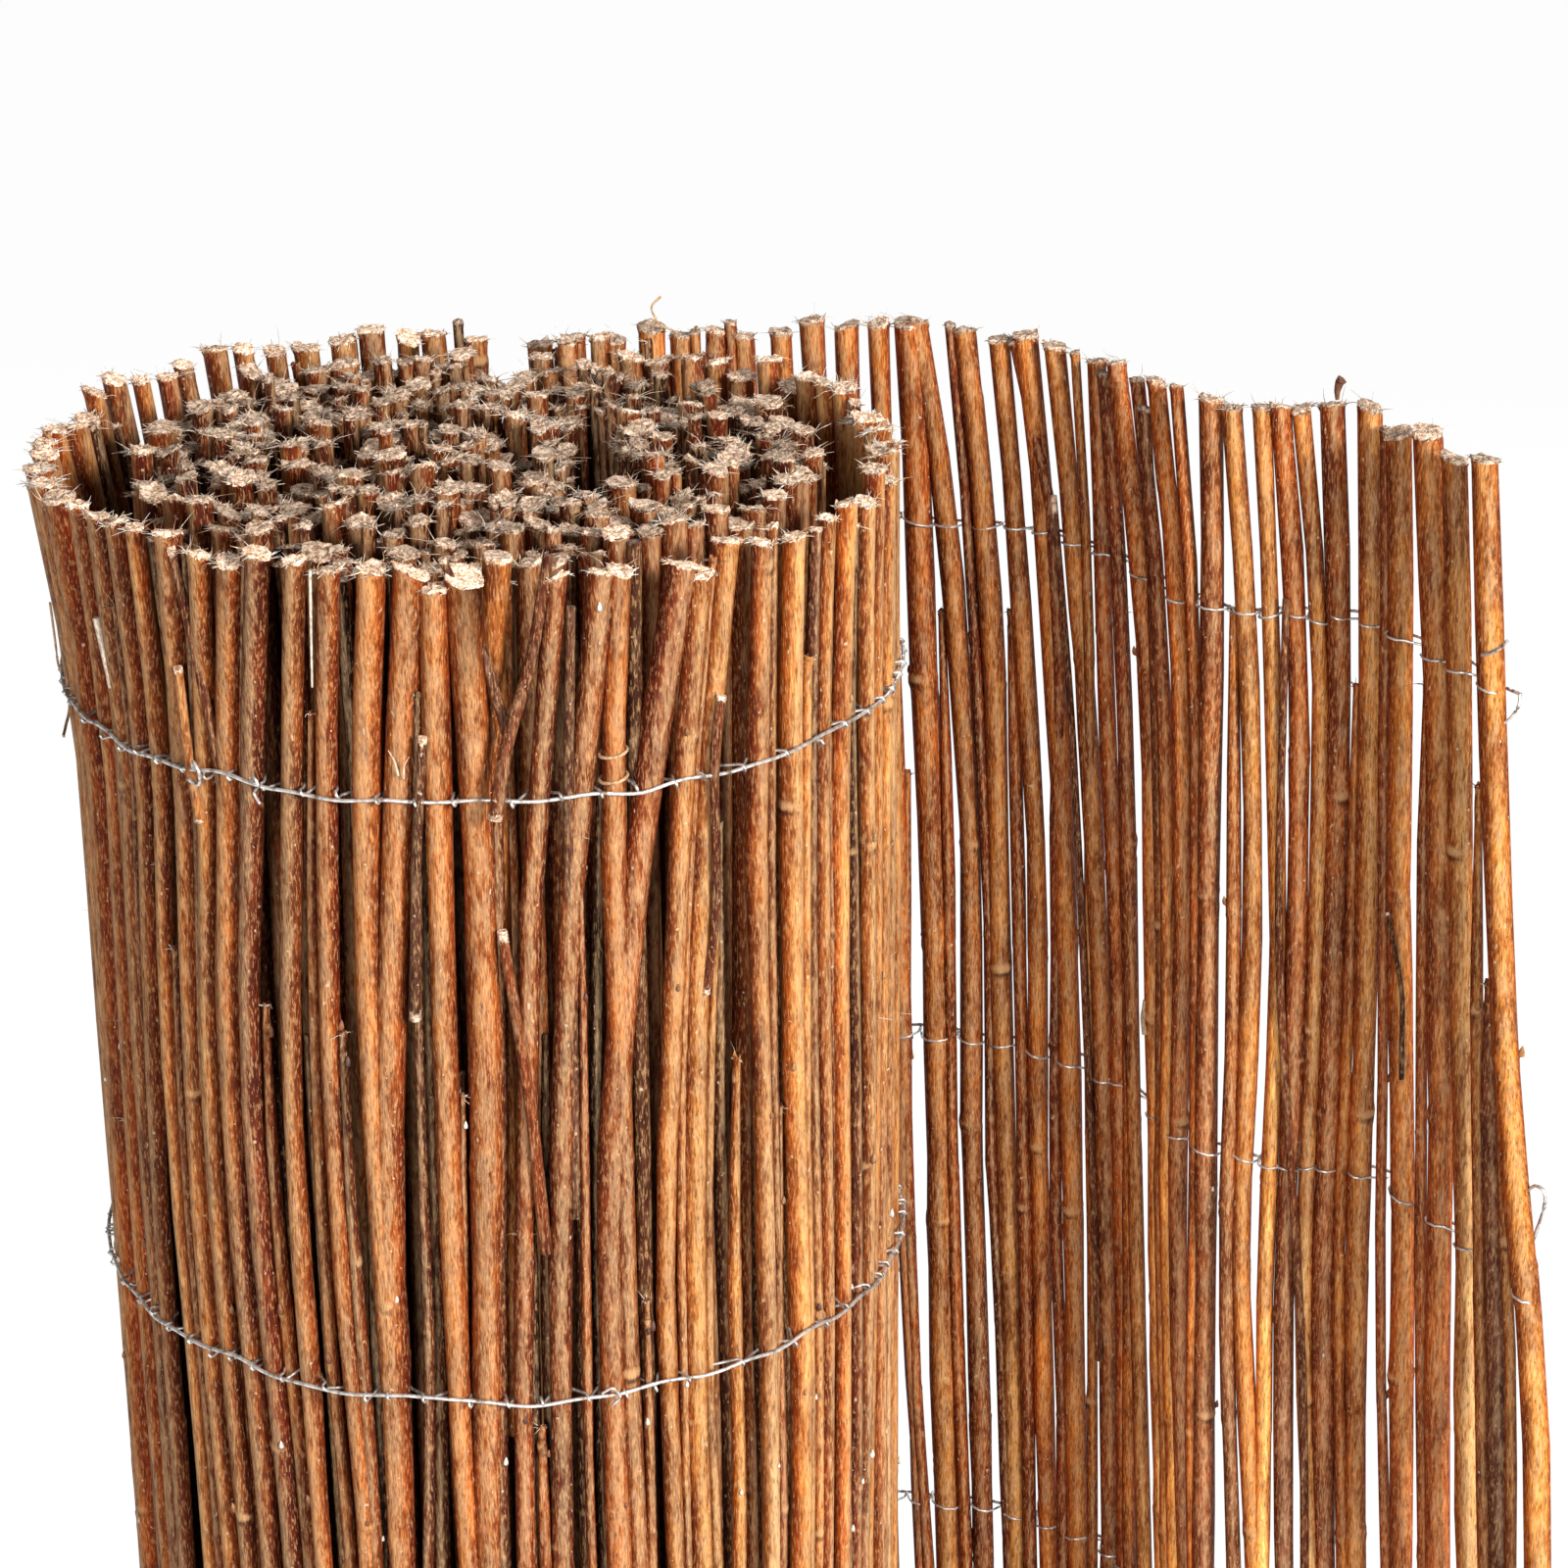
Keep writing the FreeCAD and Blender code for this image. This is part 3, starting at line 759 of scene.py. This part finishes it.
def thick_and_thin(first, last, spacing, kind, shade, paleness, splay):
    """The two kinds of rods of one stretch: butts up, and between them rods that stand butts down.

    A thin rod's diameters fit the room that its two thick neighbours leave at the top and the foot,
    and a wide gap takes two thin rods. In the inner turns both kinds end in crowded, spread tops.
    """
    places = thick_rod_places(first, last, spacing)
    count = len(places)
    is_inner, is_tail = kind == "inner", kind == "tail"
    if is_inner:
        places[:, 5] -= uniform(0.0, 0.008, count)
    is_read = places[:, 1] < read_up_to + 0.001
    top_diameter = places[:, 4] + 0.0004 * is_read
    foot_diameter = top_diameter * np.where(is_read, 0.97, uniform(0.56, 0.70, count))
    depth = side_by_side(places) + np.abs(normal(0.0, 0.0004, count))
    depth = np.where(is_read, 0.0042 - 0.5 * top_diameter, depth)
    thick = Rods(
        places[:, :4], top_diameter, foot_diameter, depth, places[:, 5],
        tail_weights if is_tail else thick_weights, shade, paleness, splay)
    between = np.diff(places[:, 1])
    top_room = between - 0.5 * (top_diameter[1:] + top_diameter[:-1])
    foot_room = between * (1.0 + tail_spread * is_tail) - 0.5 * (foot_diameter[1:] + foot_diameter[:-1])
    wanted = np.where((top_room > 0.0075) & (not is_inner), 2, 1)
    wanted = np.where(places[:-1, 1] < read_up_to, 0, wanted)
    gap = np.repeat(np.arange(len(wanted)), wanted)
    turn_in_gap = np.arange(len(gap)) - np.repeat(np.cumsum(wanted) - wanted, wanted) + 1.0
    share = turn_in_gap / (wanted[gap] + 1.0)
    course = places[gap, :4] + share[:, None] * np.diff(places[:, :4], axis=0)[gap]
    count = len(gap)
    if is_inner:
        thin_top = uniform(0.0052, 0.0078, count)
        depth = uniform(0.0065, 0.0115, count)
        top = uniform(0.981, 0.9980, count)
        thin_foot = uniform(0.0070, 0.0096, count)
    else:
        draw = rng.random(count)
        thin_top = np.clip(top_room[gap] / wanted[gap] - 0.0002, 0.0026, 0.0060)
        thin_top = np.where(draw < 0.65, np.minimum(thin_top, 0.0034), thin_top)
        thin_foot = np.clip(foot_room[gap] / wanted[gap], 0.0048, 0.0090) - 0.0008 * is_tail
        depth = uniform(0.0008, 0.0042, count)
        top = np.where(draw < 0.78, uniform(0.93, 0.975, count), uniform(0.985, 0.999, count))
        top = np.where(draw < 0.62, uniform(0.70, 0.92, count), top)
        in_gap = (course[:, 0] > open_gap[0]) & (course[:, 0] < open_gap[1])
        top = np.where(in_gap, np.minimum(top, 0.925), top)
    crossing = np.where(
        rng.random(count) < 0.10, normal(0.0, 0.008, count), normal(0.0, 0.0006, count))
    course[:, 0] += crossing
    course[:, 1] += 0.46 * crossing
    between_rods = [course, thin_top, thin_foot, depth, top]
    if is_tail:
        diameter = seen_thin_rods[:, 4]
        read = [seen_thin_rods[:, :4], diameter + 0.0007, diameter + 0.0022, 0.0053 - 0.5 * diameter,
                seen_thin_rods[:, 5]]
        between_rods = [np.concatenate(pair) for pair in zip(read, between_rods)]
    weights = tail_thin_weights if is_tail else thin_weights
    # Painted shade: the thin rods, set back between the thick ones, get their colour times 0.9.
    return thick, Rods(*between_rods, weights, shade * 0.9, 0.75 * paleness, splay)


def rods_behind(first, last, spacing, depth, short_share, shade):
    """Rods that lie against the inner side of the thick ones, many of them ending below the top.

    Their colour is times the shade given: painted shade, which darkens the gaps between the rods in front.
    """
    place = np.arange(first, last, spacing)
    count = len(place)
    place = place + uniform(-0.35, 0.35, count) * spacing
    short = rng.random(count) < short_share
    top = np.where(short, uniform(0.80, 0.93, count), uniform(0.985, 0.999, count))
    top_diameter = np.where(short, uniform(0.0030, 0.0040, count), uniform(0.0035, 0.0055, count))
    course = place[:, None] + normal(0.003, 0.003, (count, 1)) * np.array([1.0, 0.46, 0.0, 0.0])
    return Rods(
        course, top_diameter, uniform(0.0070, 0.0095, count), uniform(*depth, count), top,
        thin_weights, shade, 0.9, 0.1)


inner_start = outer_turn_length + 0.004
outer_thick, outer_thin = thick_and_thin(0.002, outer_turn_length, 0.0118, "outer", roll_shade, 1.65, 0.14)
# Painted shade: the outer turn's rods behind get 0.30 of their colour, so the gaps between the thick rods
# read dark.
outer_behind = rods_behind(0.004, outer_turn_length, 0.0105, (0.0060, 0.0090), 0.95, 0.30)
inner_thick, inner_thin = thick_and_thin(
    inner_start, wound_length - 0.002, 0.0098, "inner", inner_painted_shade, 1.25, 0.13)
inner_behind = rods_behind(
    inner_start, wound_length - 0.110, 0.0120, (0.0115, 0.0150), 0.2, inner_painted_shade)
tail_thick, tail_thin = thick_and_thin(-tail_length, -0.001, 0.0122, "tail", tail_tone_and_painted_light, 1.0, 0.10)

# The dark slot among the inner tops, where the rods end lower: its middle and half its sides.
slot_middle, slot_half = np.array([-0.083, -0.012]), np.array([0.0085, 0.046])
slot_depth = 0.09
for rods in (inner_thick, inner_thin, inner_behind):
    at_top = rods.centre(rods.top[:, None])[0][:, 0]
    in_slot = (np.abs(at_top - slot_middle) < slot_half).all(axis=1)
    rods.top = np.where(in_slot, rods.top - slot_depth, rods.top)

roll_node = ("wound_roll",)
tail_nodes = ("tail_rods_1", "tail_rods_2", "tail_rods_3")
long_view = np.linspace(0.0, 1.0, 22)
thin_view = np.linspace(0.0, 1.0, 18)
top_view = np.array([0.0, 0.3, 0.6, 0.8, 0.9, 0.95, 0.98, 1.0])
# Each: name, rods, corners a ring, rings as shares of the length, rings at nodes, map rows, nodes.
rod_pieces = [
    ("outer_turn_thick_rods", outer_thick, 12, long_view, True, 1, roll_node),
    ("outer_turn_thin_rods", outer_thin, 8, thin_view, True, 1, roll_node),
    ("outer_turn_back_rods", outer_behind, 8, thin_view, False, 1, roll_node),
    ("inner_turn_thick_rods", inner_thick, 9, top_view, False, 6, roll_node),
    ("inner_turn_thin_rods", inner_thin, 9, top_view, False, 6, roll_node),
    ("inner_turn_back_rods", inner_behind, 9, top_view, False, 6, roll_node),
    ("tail_thick_rods", tail_thick, 12, long_view, True, 1, tail_nodes),
    ("tail_thin_rods", tail_thin, 8, thin_view, True, 1, tail_nodes),
]
for name, rods, *how, nodes in rod_pieces:
    add_piece(rods.surface(name, *how), bark_finish, *nodes)


# Frayed fibres


cut_tops = [  # rods, and their share of the strands
    (outer_thick, 1.0), (outer_thin, 0.3), (inner_thick, 1.0), (inner_thin, 0.8), (inner_behind, 0.7),
    (tail_thick, 0.6), (tail_thin, 0.2)]
pale_wood, tan_wood, dark_bast = np.array([(0.74, 0.61, 0.50), (0.46, 0.29, 0.18), (0.20, 0.085, 0.042)])


def strands_on_tops(name, per_rod, size, reach, lift, inward, rim, steps):
    """Torn strands on the cut tops: thin three-sided tubes that start on the cut and bend outwards.

    A strand's point at share t of its length is its root plus its length times the sum of t times
    its direction and the square of t times its bend.
    """
    long_strand = 0.0062
    roots, colours = [], []
    for rods, share in cut_tops:
        centre, _ = rods.centre(rods.top[:, None])
        radius = rods.radius(rods.top[:, None]) * (1.0 + rods.splay[:, None])
        count = max(int(round(per_rod * share)), 1)
        angle = uniform(0.0, 2.0 * np.pi, (rods.count, count))
        out = np.sqrt(uniform(rim, 1.05, (rods.count, count)))
        direction = np.stack([np.cos(angle), np.sin(angle)], axis=-1)
        offset = (radius * out)[..., None] * direction
        z = rods.top[:, None] - 0.0008 + (offset * rods.tilt[:, None, :]).sum(axis=-1)
        tuft = rng.random((rods.count, 1)) ** 2
        length = np.minimum(uniform(*reach, angle.shape) * (0.6 + 1.2 * tuft), long_strand)
        root = [centre + offset, z[..., None], direction, length[..., None]]
        roots.append(np.concatenate(root, axis=-1).reshape(-1, 6))
        light = uniform(0.75, 1.25, (rods.count, count, 1)) * rods.paleness[:, None, None]
        kind = rng.random((rods.count, count, 1)) * 0.5 + rng.random((rods.count, 1, 1)) * 0.5
        wood = np.where(kind > 0.78, dark_bast, np.where(kind < 0.55, pale_wood, tan_wood))
        colours.append((wood * light).reshape(-1, 3))
    root = np.concatenate(roots)
    colour = np.minimum(np.concatenate(colours), 0.9)
    count = len(root)
    side = normal(0.0, 0.45, (count, 2)) + root[:, 3:5] * uniform(inward, 1.2, (count, 1))
    direction = np.concatenate([side, uniform(*lift, (count, 1))], axis=-1)
    direction /= np.linalg.norm(direction, axis=-1, keepdims=True)
    bend = np.concatenate([normal(0.0, 0.35, (count, 2)), uniform(-0.6, 0.2, (count, 1))], axis=-1)
    t = np.linspace(0.0, 1.0, steps)[None, :, None]
    path = root[:, None, :3] + root[:, None, 5:] * (direction[:, None] * t + bend[:, None] * t ** 2)
    thickness = uniform(*size, (count, 1)) * np.linspace(1.0, 0.25, steps)
    rings = tubes_along(path, thickness, 3)
    return grid_mesh(name, rings, strip_rows=60, values={"rod_colour": colour[:, None, None, :]})


# Each: name, strands a rod, radius, length, rise, least lean outwards, least square of the root's
# place as a share of the rod's radius, points a strand.
for row in (("torn_crowns", 24, (0.00016, 0.00038), (0.0009, 0.0028), (-0.15, 0.80), 0.2, 0.70, 2),
            ("frayed_fibres", 8, (0.00012, 0.00022), (0.0022, 0.0055), (0.0, 0.9), 0.1, 0.3, 3)):
    add_piece(strands_on_tops(*row), fibre_finish)


# Buds


budded_rods = [(outer_thick, 0.50), (outer_thin, 0.7), (tail_thick, 0.50), (tail_thin, 0.7)]  # share of nodes
pale_bud = np.array([0.84, 0.78, 0.70])


def bud_mesh():
    """Buds at the nodes: a drop that rises from the rod's side, widest below its middle."""
    paths, sizes, colours = [], [], []
    for rods, share in budded_rods:
        keep = rng.random(rods.nodes.shape) < share
        z = np.clip(rods.nodes + 0.001, 0.0, rods.top[:, None] - 0.012)
        centre, outward = rods.centre(z)
        radius = rods.radius(z)
        angle = normal(0.0, 1.0, z.shape)
        turned = np.stack([
            outward[..., 0] * np.cos(angle) - outward[..., 1] * np.sin(angle),
            outward[..., 0] * np.sin(angle) + outward[..., 1] * np.cos(angle)], axis=-1)
        length = uniform(0.0024, 0.0046, z.shape)
        pale = rng.random(z.shape + (1,)) < 0.34
        length = np.where(pale[..., 0], 0.8 * length, length)
        t = np.linspace(0.0, 1.0, 5)
        away = radius[..., None] + length[..., None] * np.array([-0.05, 0.09, 0.14, 0.16, 0.20])
        xy = centre[..., None, :] + turned[..., None, :] * away[..., None]
        paths.append(raised(xy, z[..., None] + length[..., None] * t)[keep])
        sizes.append((length[..., None] * np.array([0.10, 0.26, 0.24, 0.15, 0.03]))[keep])
        base = np.broadcast_to(rods.colour[:, None], z.shape + (3,))
        tip = np.where(pale, pale_bud, base * 0.8 + 0.05)
        ring_share = np.where(pale, [0.5, 0.8, 1.0, 1.0, 1.0], [0.0, 0.1, 0.4, 0.9, 1.0])[..., None]
        colour = base[..., None, :] * 0.55 * (1.0 - ring_share) + tip[..., None, :] * ring_share
        colours.append(colour[keep])
    path = np.concatenate(paths)
    rings = tubes_along(path, np.concatenate(sizes), 6)
    colour = np.concatenate(colours)[:, :, None, :]
    return grid_mesh("buds", rings, strip_rows=30, values={"rod_colour": colour})


add_piece(bud_mesh(), fibre_finish)


# Wires


def on_mat(s, out, z):
    """Points at arrays of s, distance outside the mat's outer face, and height."""
    s, out, z = np.broadcast_arrays(s, out, z)
    point, outward = outer_face(s, z)
    return raised(point + outward * (out + top_flare(s, z))[..., None], z)


def running_wire_mesh(row):
    """The wire on the outer face, with slow waves up and down and a few small kinks."""
    s = np.linspace(wire_ends[row], outer_turn_length - 0.001, 420)
    local = np.random.default_rng(700 + row)
    z = wire_heights[row] + 0.0007 * np.sin(s * 90.0 + row) + 0.0005 * np.sin(s * 213.0 + 2.0 * row)
    knots = np.linspace(s[0], s[-1], 90)
    z = z + np.interp(s, knots, local.normal(0.0, 0.0005, len(knots)))
    out = 0.0008 + np.abs(np.interp(s, knots, local.normal(0.0, 0.0002, len(knots))))
    path = on_mat(s, out, z)[None]
    return grid_mesh(f"running_wire_row_{row + 1}", tubes_along(path, running_wire_radius, 8))


def stitch_wire_mesh(row):
    """The binding wire: round the inner side of each thick rod, then round the running wire.

    Each rod has the same points: an arc that hugs the side of the rod that faces into the roll, a
    step out through the gap to the next rod, a loop over and under the running wire, and the way back.
    """
    places = []
    for rods in (tail_thick, outer_thick):
        z = np.full((rods.count, 1), wire_heights[row])
        places.append(np.concatenate([rods.along(z), rods.below(z), rods.radius(z)], axis=1))
    places = np.concatenate(places)
    places = places[np.argsort(places[:, 0])]
    s_rod, deep, radius = (column[:, None] for column in places.T)
    turn = np.radians([-75.0, -40.0, 0.0, 40.0, 75.0])
    arc_radius = radius + 0.0004
    arc_s = s_rod + arc_radius * np.sin(turn)
    arc_out = -deep - arc_radius * np.cos(turn)
    middle = 0.5 * (s_rod[:-1] + radius[:-1] + s_rod[1:] - radius[1:])
    middle = np.concatenate([middle, s_rod[-1:] + radius[-1:] + 0.001])
    loop_s = middle + np.array([-0.0005, -0.0003, 0.0, 0.0003, 0.0005])
    loop_out = 0.0009 + np.array([-0.0014, 0.0004, 0.0011, 0.0004, -0.0014]) + 0.0 * middle
    loop_rise = np.array([0.0009, 0.0010, 0.0, -0.0010, -0.0009])
    local = np.random.default_rng(800 + row)
    level, slope = local.normal(0.0, 0.0006, (2, len(places), 1))
    level = wire_heights[row] + level
    pairs = [(arc_s, loop_s), (arc_out, loop_out), (level + slope * np.sin(turn), level + loop_rise)]
    path = on_mat(*[np.concatenate(pair, axis=1).ravel() for pair in pairs])[None]
    return grid_mesh(f"stitch_wire_row_{row + 1}", tubes_along(path, stitch_wire_radius, 5))


for row in range(len(wire_heights)):
    add_piece(running_wire_mesh(row), wire_finish, f"running_wire_{row + 1}")
    add_piece(stitch_wire_mesh(row), wire_finish, f"stitch_wire_{row + 1}")


# Loose twigs, strands and wire ends

straw, amber, red, dark_red, mauve, dark = bark_colours[[2, 3, 5, 6, 7, 8]]
peeled = (0.72, 0.60, 0.47)
tan = (0.60, 0.38, 0.20)
torn = (0.70, 0.56, 0.40)
zinc = (0.50, 0.50, 0.50)

# Each: colour, radius at the start and end, whether the start and end are cut where one is, and
# points as s, distance outside the mat's face and height, all in mm.
loose_twigs = [
    (dark_red, 1.7, 2.2, (0, 1), [
        (469.7, -4, 999.5), (463.8, -1, 967.7), (455.6, 4, 943.5), (451.4, 7, 919.4)]),
    (mauve, 1.3, 1.8, (1, 0), [(438.8, -5, 999.5), (448.9, -4, 972.8), (456.4, -2, 941.6)]),
    (amber, 4.4, 3.9, (1, 0), [(455.0, -15, 997), (451.3, -13, 964.5), (449, -13, 700)]),
    (mauve, 1.4, 2.0, [(475.8, -2.5, 983), (473.9, -2.5, 923), (472, -4, 780)]),
    (dark, 2.4, 2.8, [(497.5, -9, 999), (497, -8, 900), (496, -8, 700)]),
    (dark_red, 1.5, 2.0, (1, 0), [(352.5, -3, 996), (357.5, -2, 955), (360, -2, 930), (361, -4, 880)]),
    (straw, 1.5, 1.7, (1, 1), [(351.0, 0.5, 957), (350.0, 0.5, 926), (350.5, -1, 905)]),
    (mauve, 1.4, 1.9, (1, 1), [(431, 0.5, 944), (427, 0.3, 905), (424, -1, 850)]),
    (dark_red, 1.6, 1.3, (1, 1), [(523, 0.5, 948), (520, 0.8, 930), (521, 0.6, 880), (517, -1, 850)]),
    (red, 1.6, 2.1, (1, 0), [(452, -1, 880), (459, 0.5, 820), (462, -1, 770)]),
    (dark, 1.0, 0.7, (0, 1), [(-373.7, -9, 766), (-377.5, -10.5, 800), (-369, -11, 826)]),
    (dark_red, 1.2, 1.6, (1, 0), [(-205, -9, 940), (-213, -9.5, 860), (-217, -9, 760), (-222, -9, 600)]),
    (dark_red, 1.3, 1.7, [(-318, -9, 930), (-314, -9, 800), (-321, -9, 640), (-320, -8, 500)]),
]
loose_strands = [
    (peeled, 0.55, 0.35, [(401.5, 0.2, 996), (400, 0.2, 978), (398.4, 0.2, 958)]),
    (peeled, 1.3, 0.9, [(310.5, -0.6, 963), (311.5, -0.5, 952), (312, -0.6, 940)]),
    (tan, 0.45, 0.25, [(252, 0.5, 950), (250, 1.5, 930), (236, 2, 921), (221, 2, 914), (214, 3, 905)]),
    (tan, 0.6, 0.5, [(222, 2, 913), (214, 3.5, 908), (216, 4, 899), (232, 3.5, 898), (247, 3, 902)]),
    (tan, 0.45, 0.25, [(-54, -6, 1006), (-50, -9, 1003), (-53, -11, 997), (-60, -10, 994), (-59, -7, 986)]),
    ((0.16, 0.06, 0.03), 0.7, 2.0, [(-336, -4, 998), (-336, -4, 1001), (-337, -4, 1004), (-338, -4, 1005)]),
    ((0.52, 0.36, 0.22), 1.0, 1.6, [(-259.3, -7.4, 764), (-259.0, -8.2, 757), (-259.4, -7.6, 751)]),
    (torn, 0.45, 0.15, [(423, 0.4, 931), (422.4, 1.2, 936), (421, 2.4, 940)]),
    (torn, 0.40, 0.15, [(424.5, 0.4, 930), (425.2, 1.4, 935), (427, 2.2, 938)]),
]
ring_turn = np.linspace(0.0, 2.0 * np.pi, 9)
ring_radius, ring_rise = 4.9, 0.9
for height in (934.3, 926.0):  # two rings of bast round one rod
    across, outward = np.sin(ring_turn), np.cos(ring_turn)
    ring = np.stack([
        488.5 + ring_radius * across, -4.2 + ring_radius * outward, height + ring_rise * across], axis=-1)
    loose_strands.append((tan, 0.55, 0.55, ring))
loose_wires = [
    (zinc, 0.6, 0.5, [
        (-432.3, 0.8, 923.3), (-433.2, 0, 919.5), (-431, -1.5, 915), (-427.5, -3, 911.5), (-424.5, -5, 913)]),
    (zinc, 0.8, 0.6, [(-425, -8.5, 935), (-429.5, -8, 937), (-433, -7, 939.5), (-437.5, -7, 943.5)]),
    (zinc, 0.7, 0.6, [
        (-429.8, 1, 718.4), (-434, 2, 727), (-440, 2, 740), (-446, 1, 751), (-447, 0, 757),
        (-442, -1, 757), (-439, -2, 752)]),
    (zinc, 0.6, 0.6, [(352, 1, 924), (355, 3.5, 928), (358, 4, 924), (356, 3, 919), (352, 3.5, 921)]),
    (zinc, 0.5, 0.5, [(375, 1, 924), (377, 3, 927), (379, 3, 924), (376, 2.5, 921), (379, 3.5, 918)]),
    (zinc, 0.5, 0.5, [(478, 1, 719), (481, 3, 722), (484, 3, 718), (481, 2.5, 715)]),
]


def loose_mesh(name, table, sides, steps):
    """Tubes along curves through the table's points, smoothed by averaging three times over neighbours."""
    paths, sizes, colours, cuts = [], [], [], []
    t = np.linspace(0.0, 1.0, steps)
    for colour, first_radius, last_radius, *cut_ends, points in table:
        share = np.linspace(0.0, 1.0, len(points))
        columns = [np.interp(t, share, column) for column in 0.001 * np.array(points, float).T]
        for column in columns * 3:
            column[1:-1] = 0.25 * column[:-2] + 0.5 * column[1:-1] + 0.25 * column[2:]
        paths.append(on_mat(*columns))
        sizes.append(0.001 * np.linspace(first_radius, last_radius, steps))
        colours.append(np.broadcast_to(colour, (steps, 1, 3)))
        cut = np.zeros((steps, 1))
        cut[[0, -1], 0] = cut_ends[0] if cut_ends else 0
        cuts.append(cut)
    rings = tubes_along(np.array(paths), np.array(sizes), sides)
    # The loose twigs get one middling level of the bark's painted highlight and crevice shade.
    return grid_mesh(name, rings, values={
        "rod_colour": np.array(colours), "cut_wood": np.array(cuts), "painted_light_facing": np.full((1, 1, 1), 0.75),
        "cut_paleness": np.full((1, 1, 1), 1.4)})


add_piece(loose_mesh("loose_twigs", loose_twigs, 8, 20), bark_finish)
add_piece(loose_mesh("loose_strands", loose_strands, 6, 24), fibre_finish)
add_piece(loose_mesh("loose_wire_ends", loose_wires, 6, 20), wire_finish)


# Camera, light and floor

focal_length_px = 4159.52
photo_width_px = 1600.0
camera_place = np.array([-0.05464, -1.28385, 1.36313])
yaw, pitch, roll = np.radians([-1.45586, 20.95187, -0.65353])
ahead = np.array([-np.sin(yaw) * np.cos(pitch), np.cos(yaw) * np.cos(pitch), -np.sin(pitch)])
level = np.array([np.cos(yaw), np.sin(yaw), 0.0])
upward = np.cross(level, ahead)
right = np.cos(roll) * level + np.sin(roll) * upward
above = -np.sin(roll) * level + np.cos(roll) * upward
turned = np.eye(4)
turned[:3] = np.stack([right, above, -ahead, camera_place], axis=1)
camera_data = bpy.data.cameras.new("camera")
camera_data.sensor_width = 36.0
camera_data.lens = focal_length_px / photo_width_px * camera_data.sensor_width
camera_data.clip_end = 50.0
camera = placed("camera", camera_data)
camera.matrix_world = Matrix(turned.tolist())
bpy.context.scene.camera = camera


def soft_light(name, place, size, power, colour):
    """A square lamp that faces the middle of the roll."""
    data = bpy.data.lights.new(name, "AREA")
    data.shape = "SQUARE"
    data.size = size
    data.energy = power
    data.color = colour
    lamp = placed(name, data)
    lamp.location = place
    aim = Vector((0.0, 0.0, 0.75)) - lamp.location
    lamp.rotation_euler = aim.to_track_quat("-Z", "Y").to_euler()


soft_light("key_light", (1.60, -2.22, 2.0), 0.7, 116.0, (1.0, 0.97, 0.93))
soft_light("fill_light", (-0.7, -2.9, 1.4), 1.0, 48.0, (1.0, 0.98, 0.96))
soft_light("back_light", (0.6, 2.4, 2.2), 1.4, 30.0, (1.0, 1.0, 1.0))


def pale_floor():
    """Matt pale floor whose plain white shows to the camera, in glosses and through glass, with shadows."""
    n = material_nodes("pale_floor")
    rays = n.add("LightPath").outputs
    direct = n.math("MAXIMUM", rays["Is Camera Ray"], rays["Is Glossy Ray"])
    direct = n.math("MAXIMUM", direct, rays["Is Transmission Ray"])
    matt = n.add("BsdfDiffuse", Color=n.mix(direct, (0.45, 0.45, 0.45), white))
    glow = n.add("Emission", Color=white, Strength=1.12)
    return n.finish(n.blend(n.math("MULTIPLY", direct, 0.85), matt, glow))


def studio_world():
    """Plain white to the camera, and a soft light from all sides."""
    n = Nodes(bpy.data.worlds.new("studio"))
    soft = n.add("Background", Color=white, Strength=0.12)
    plain = n.add("Background", Color=white, Strength=1.0)
    return n.finish(n.blend(n.add("LightPath").outputs["Is Camera Ray"], soft, plain), "OutputWorld")


white = (1.0, 1.0, 1.0)
floor_mesh = bpy.data.meshes.new("floor")
floor_mesh.from_pydata([(-8, -8, 0), (8, -8, 0), (8, 8, 0), (-8, 8, 0)], [], [(0, 1, 2, 3)])
floor_mesh.materials.append(pale_floor())
floor = placed("floor", floor_mesh)
bpy.context.scene.world = studio_world()
bpy.context.scene.view_settings.view_transform = "Standard"
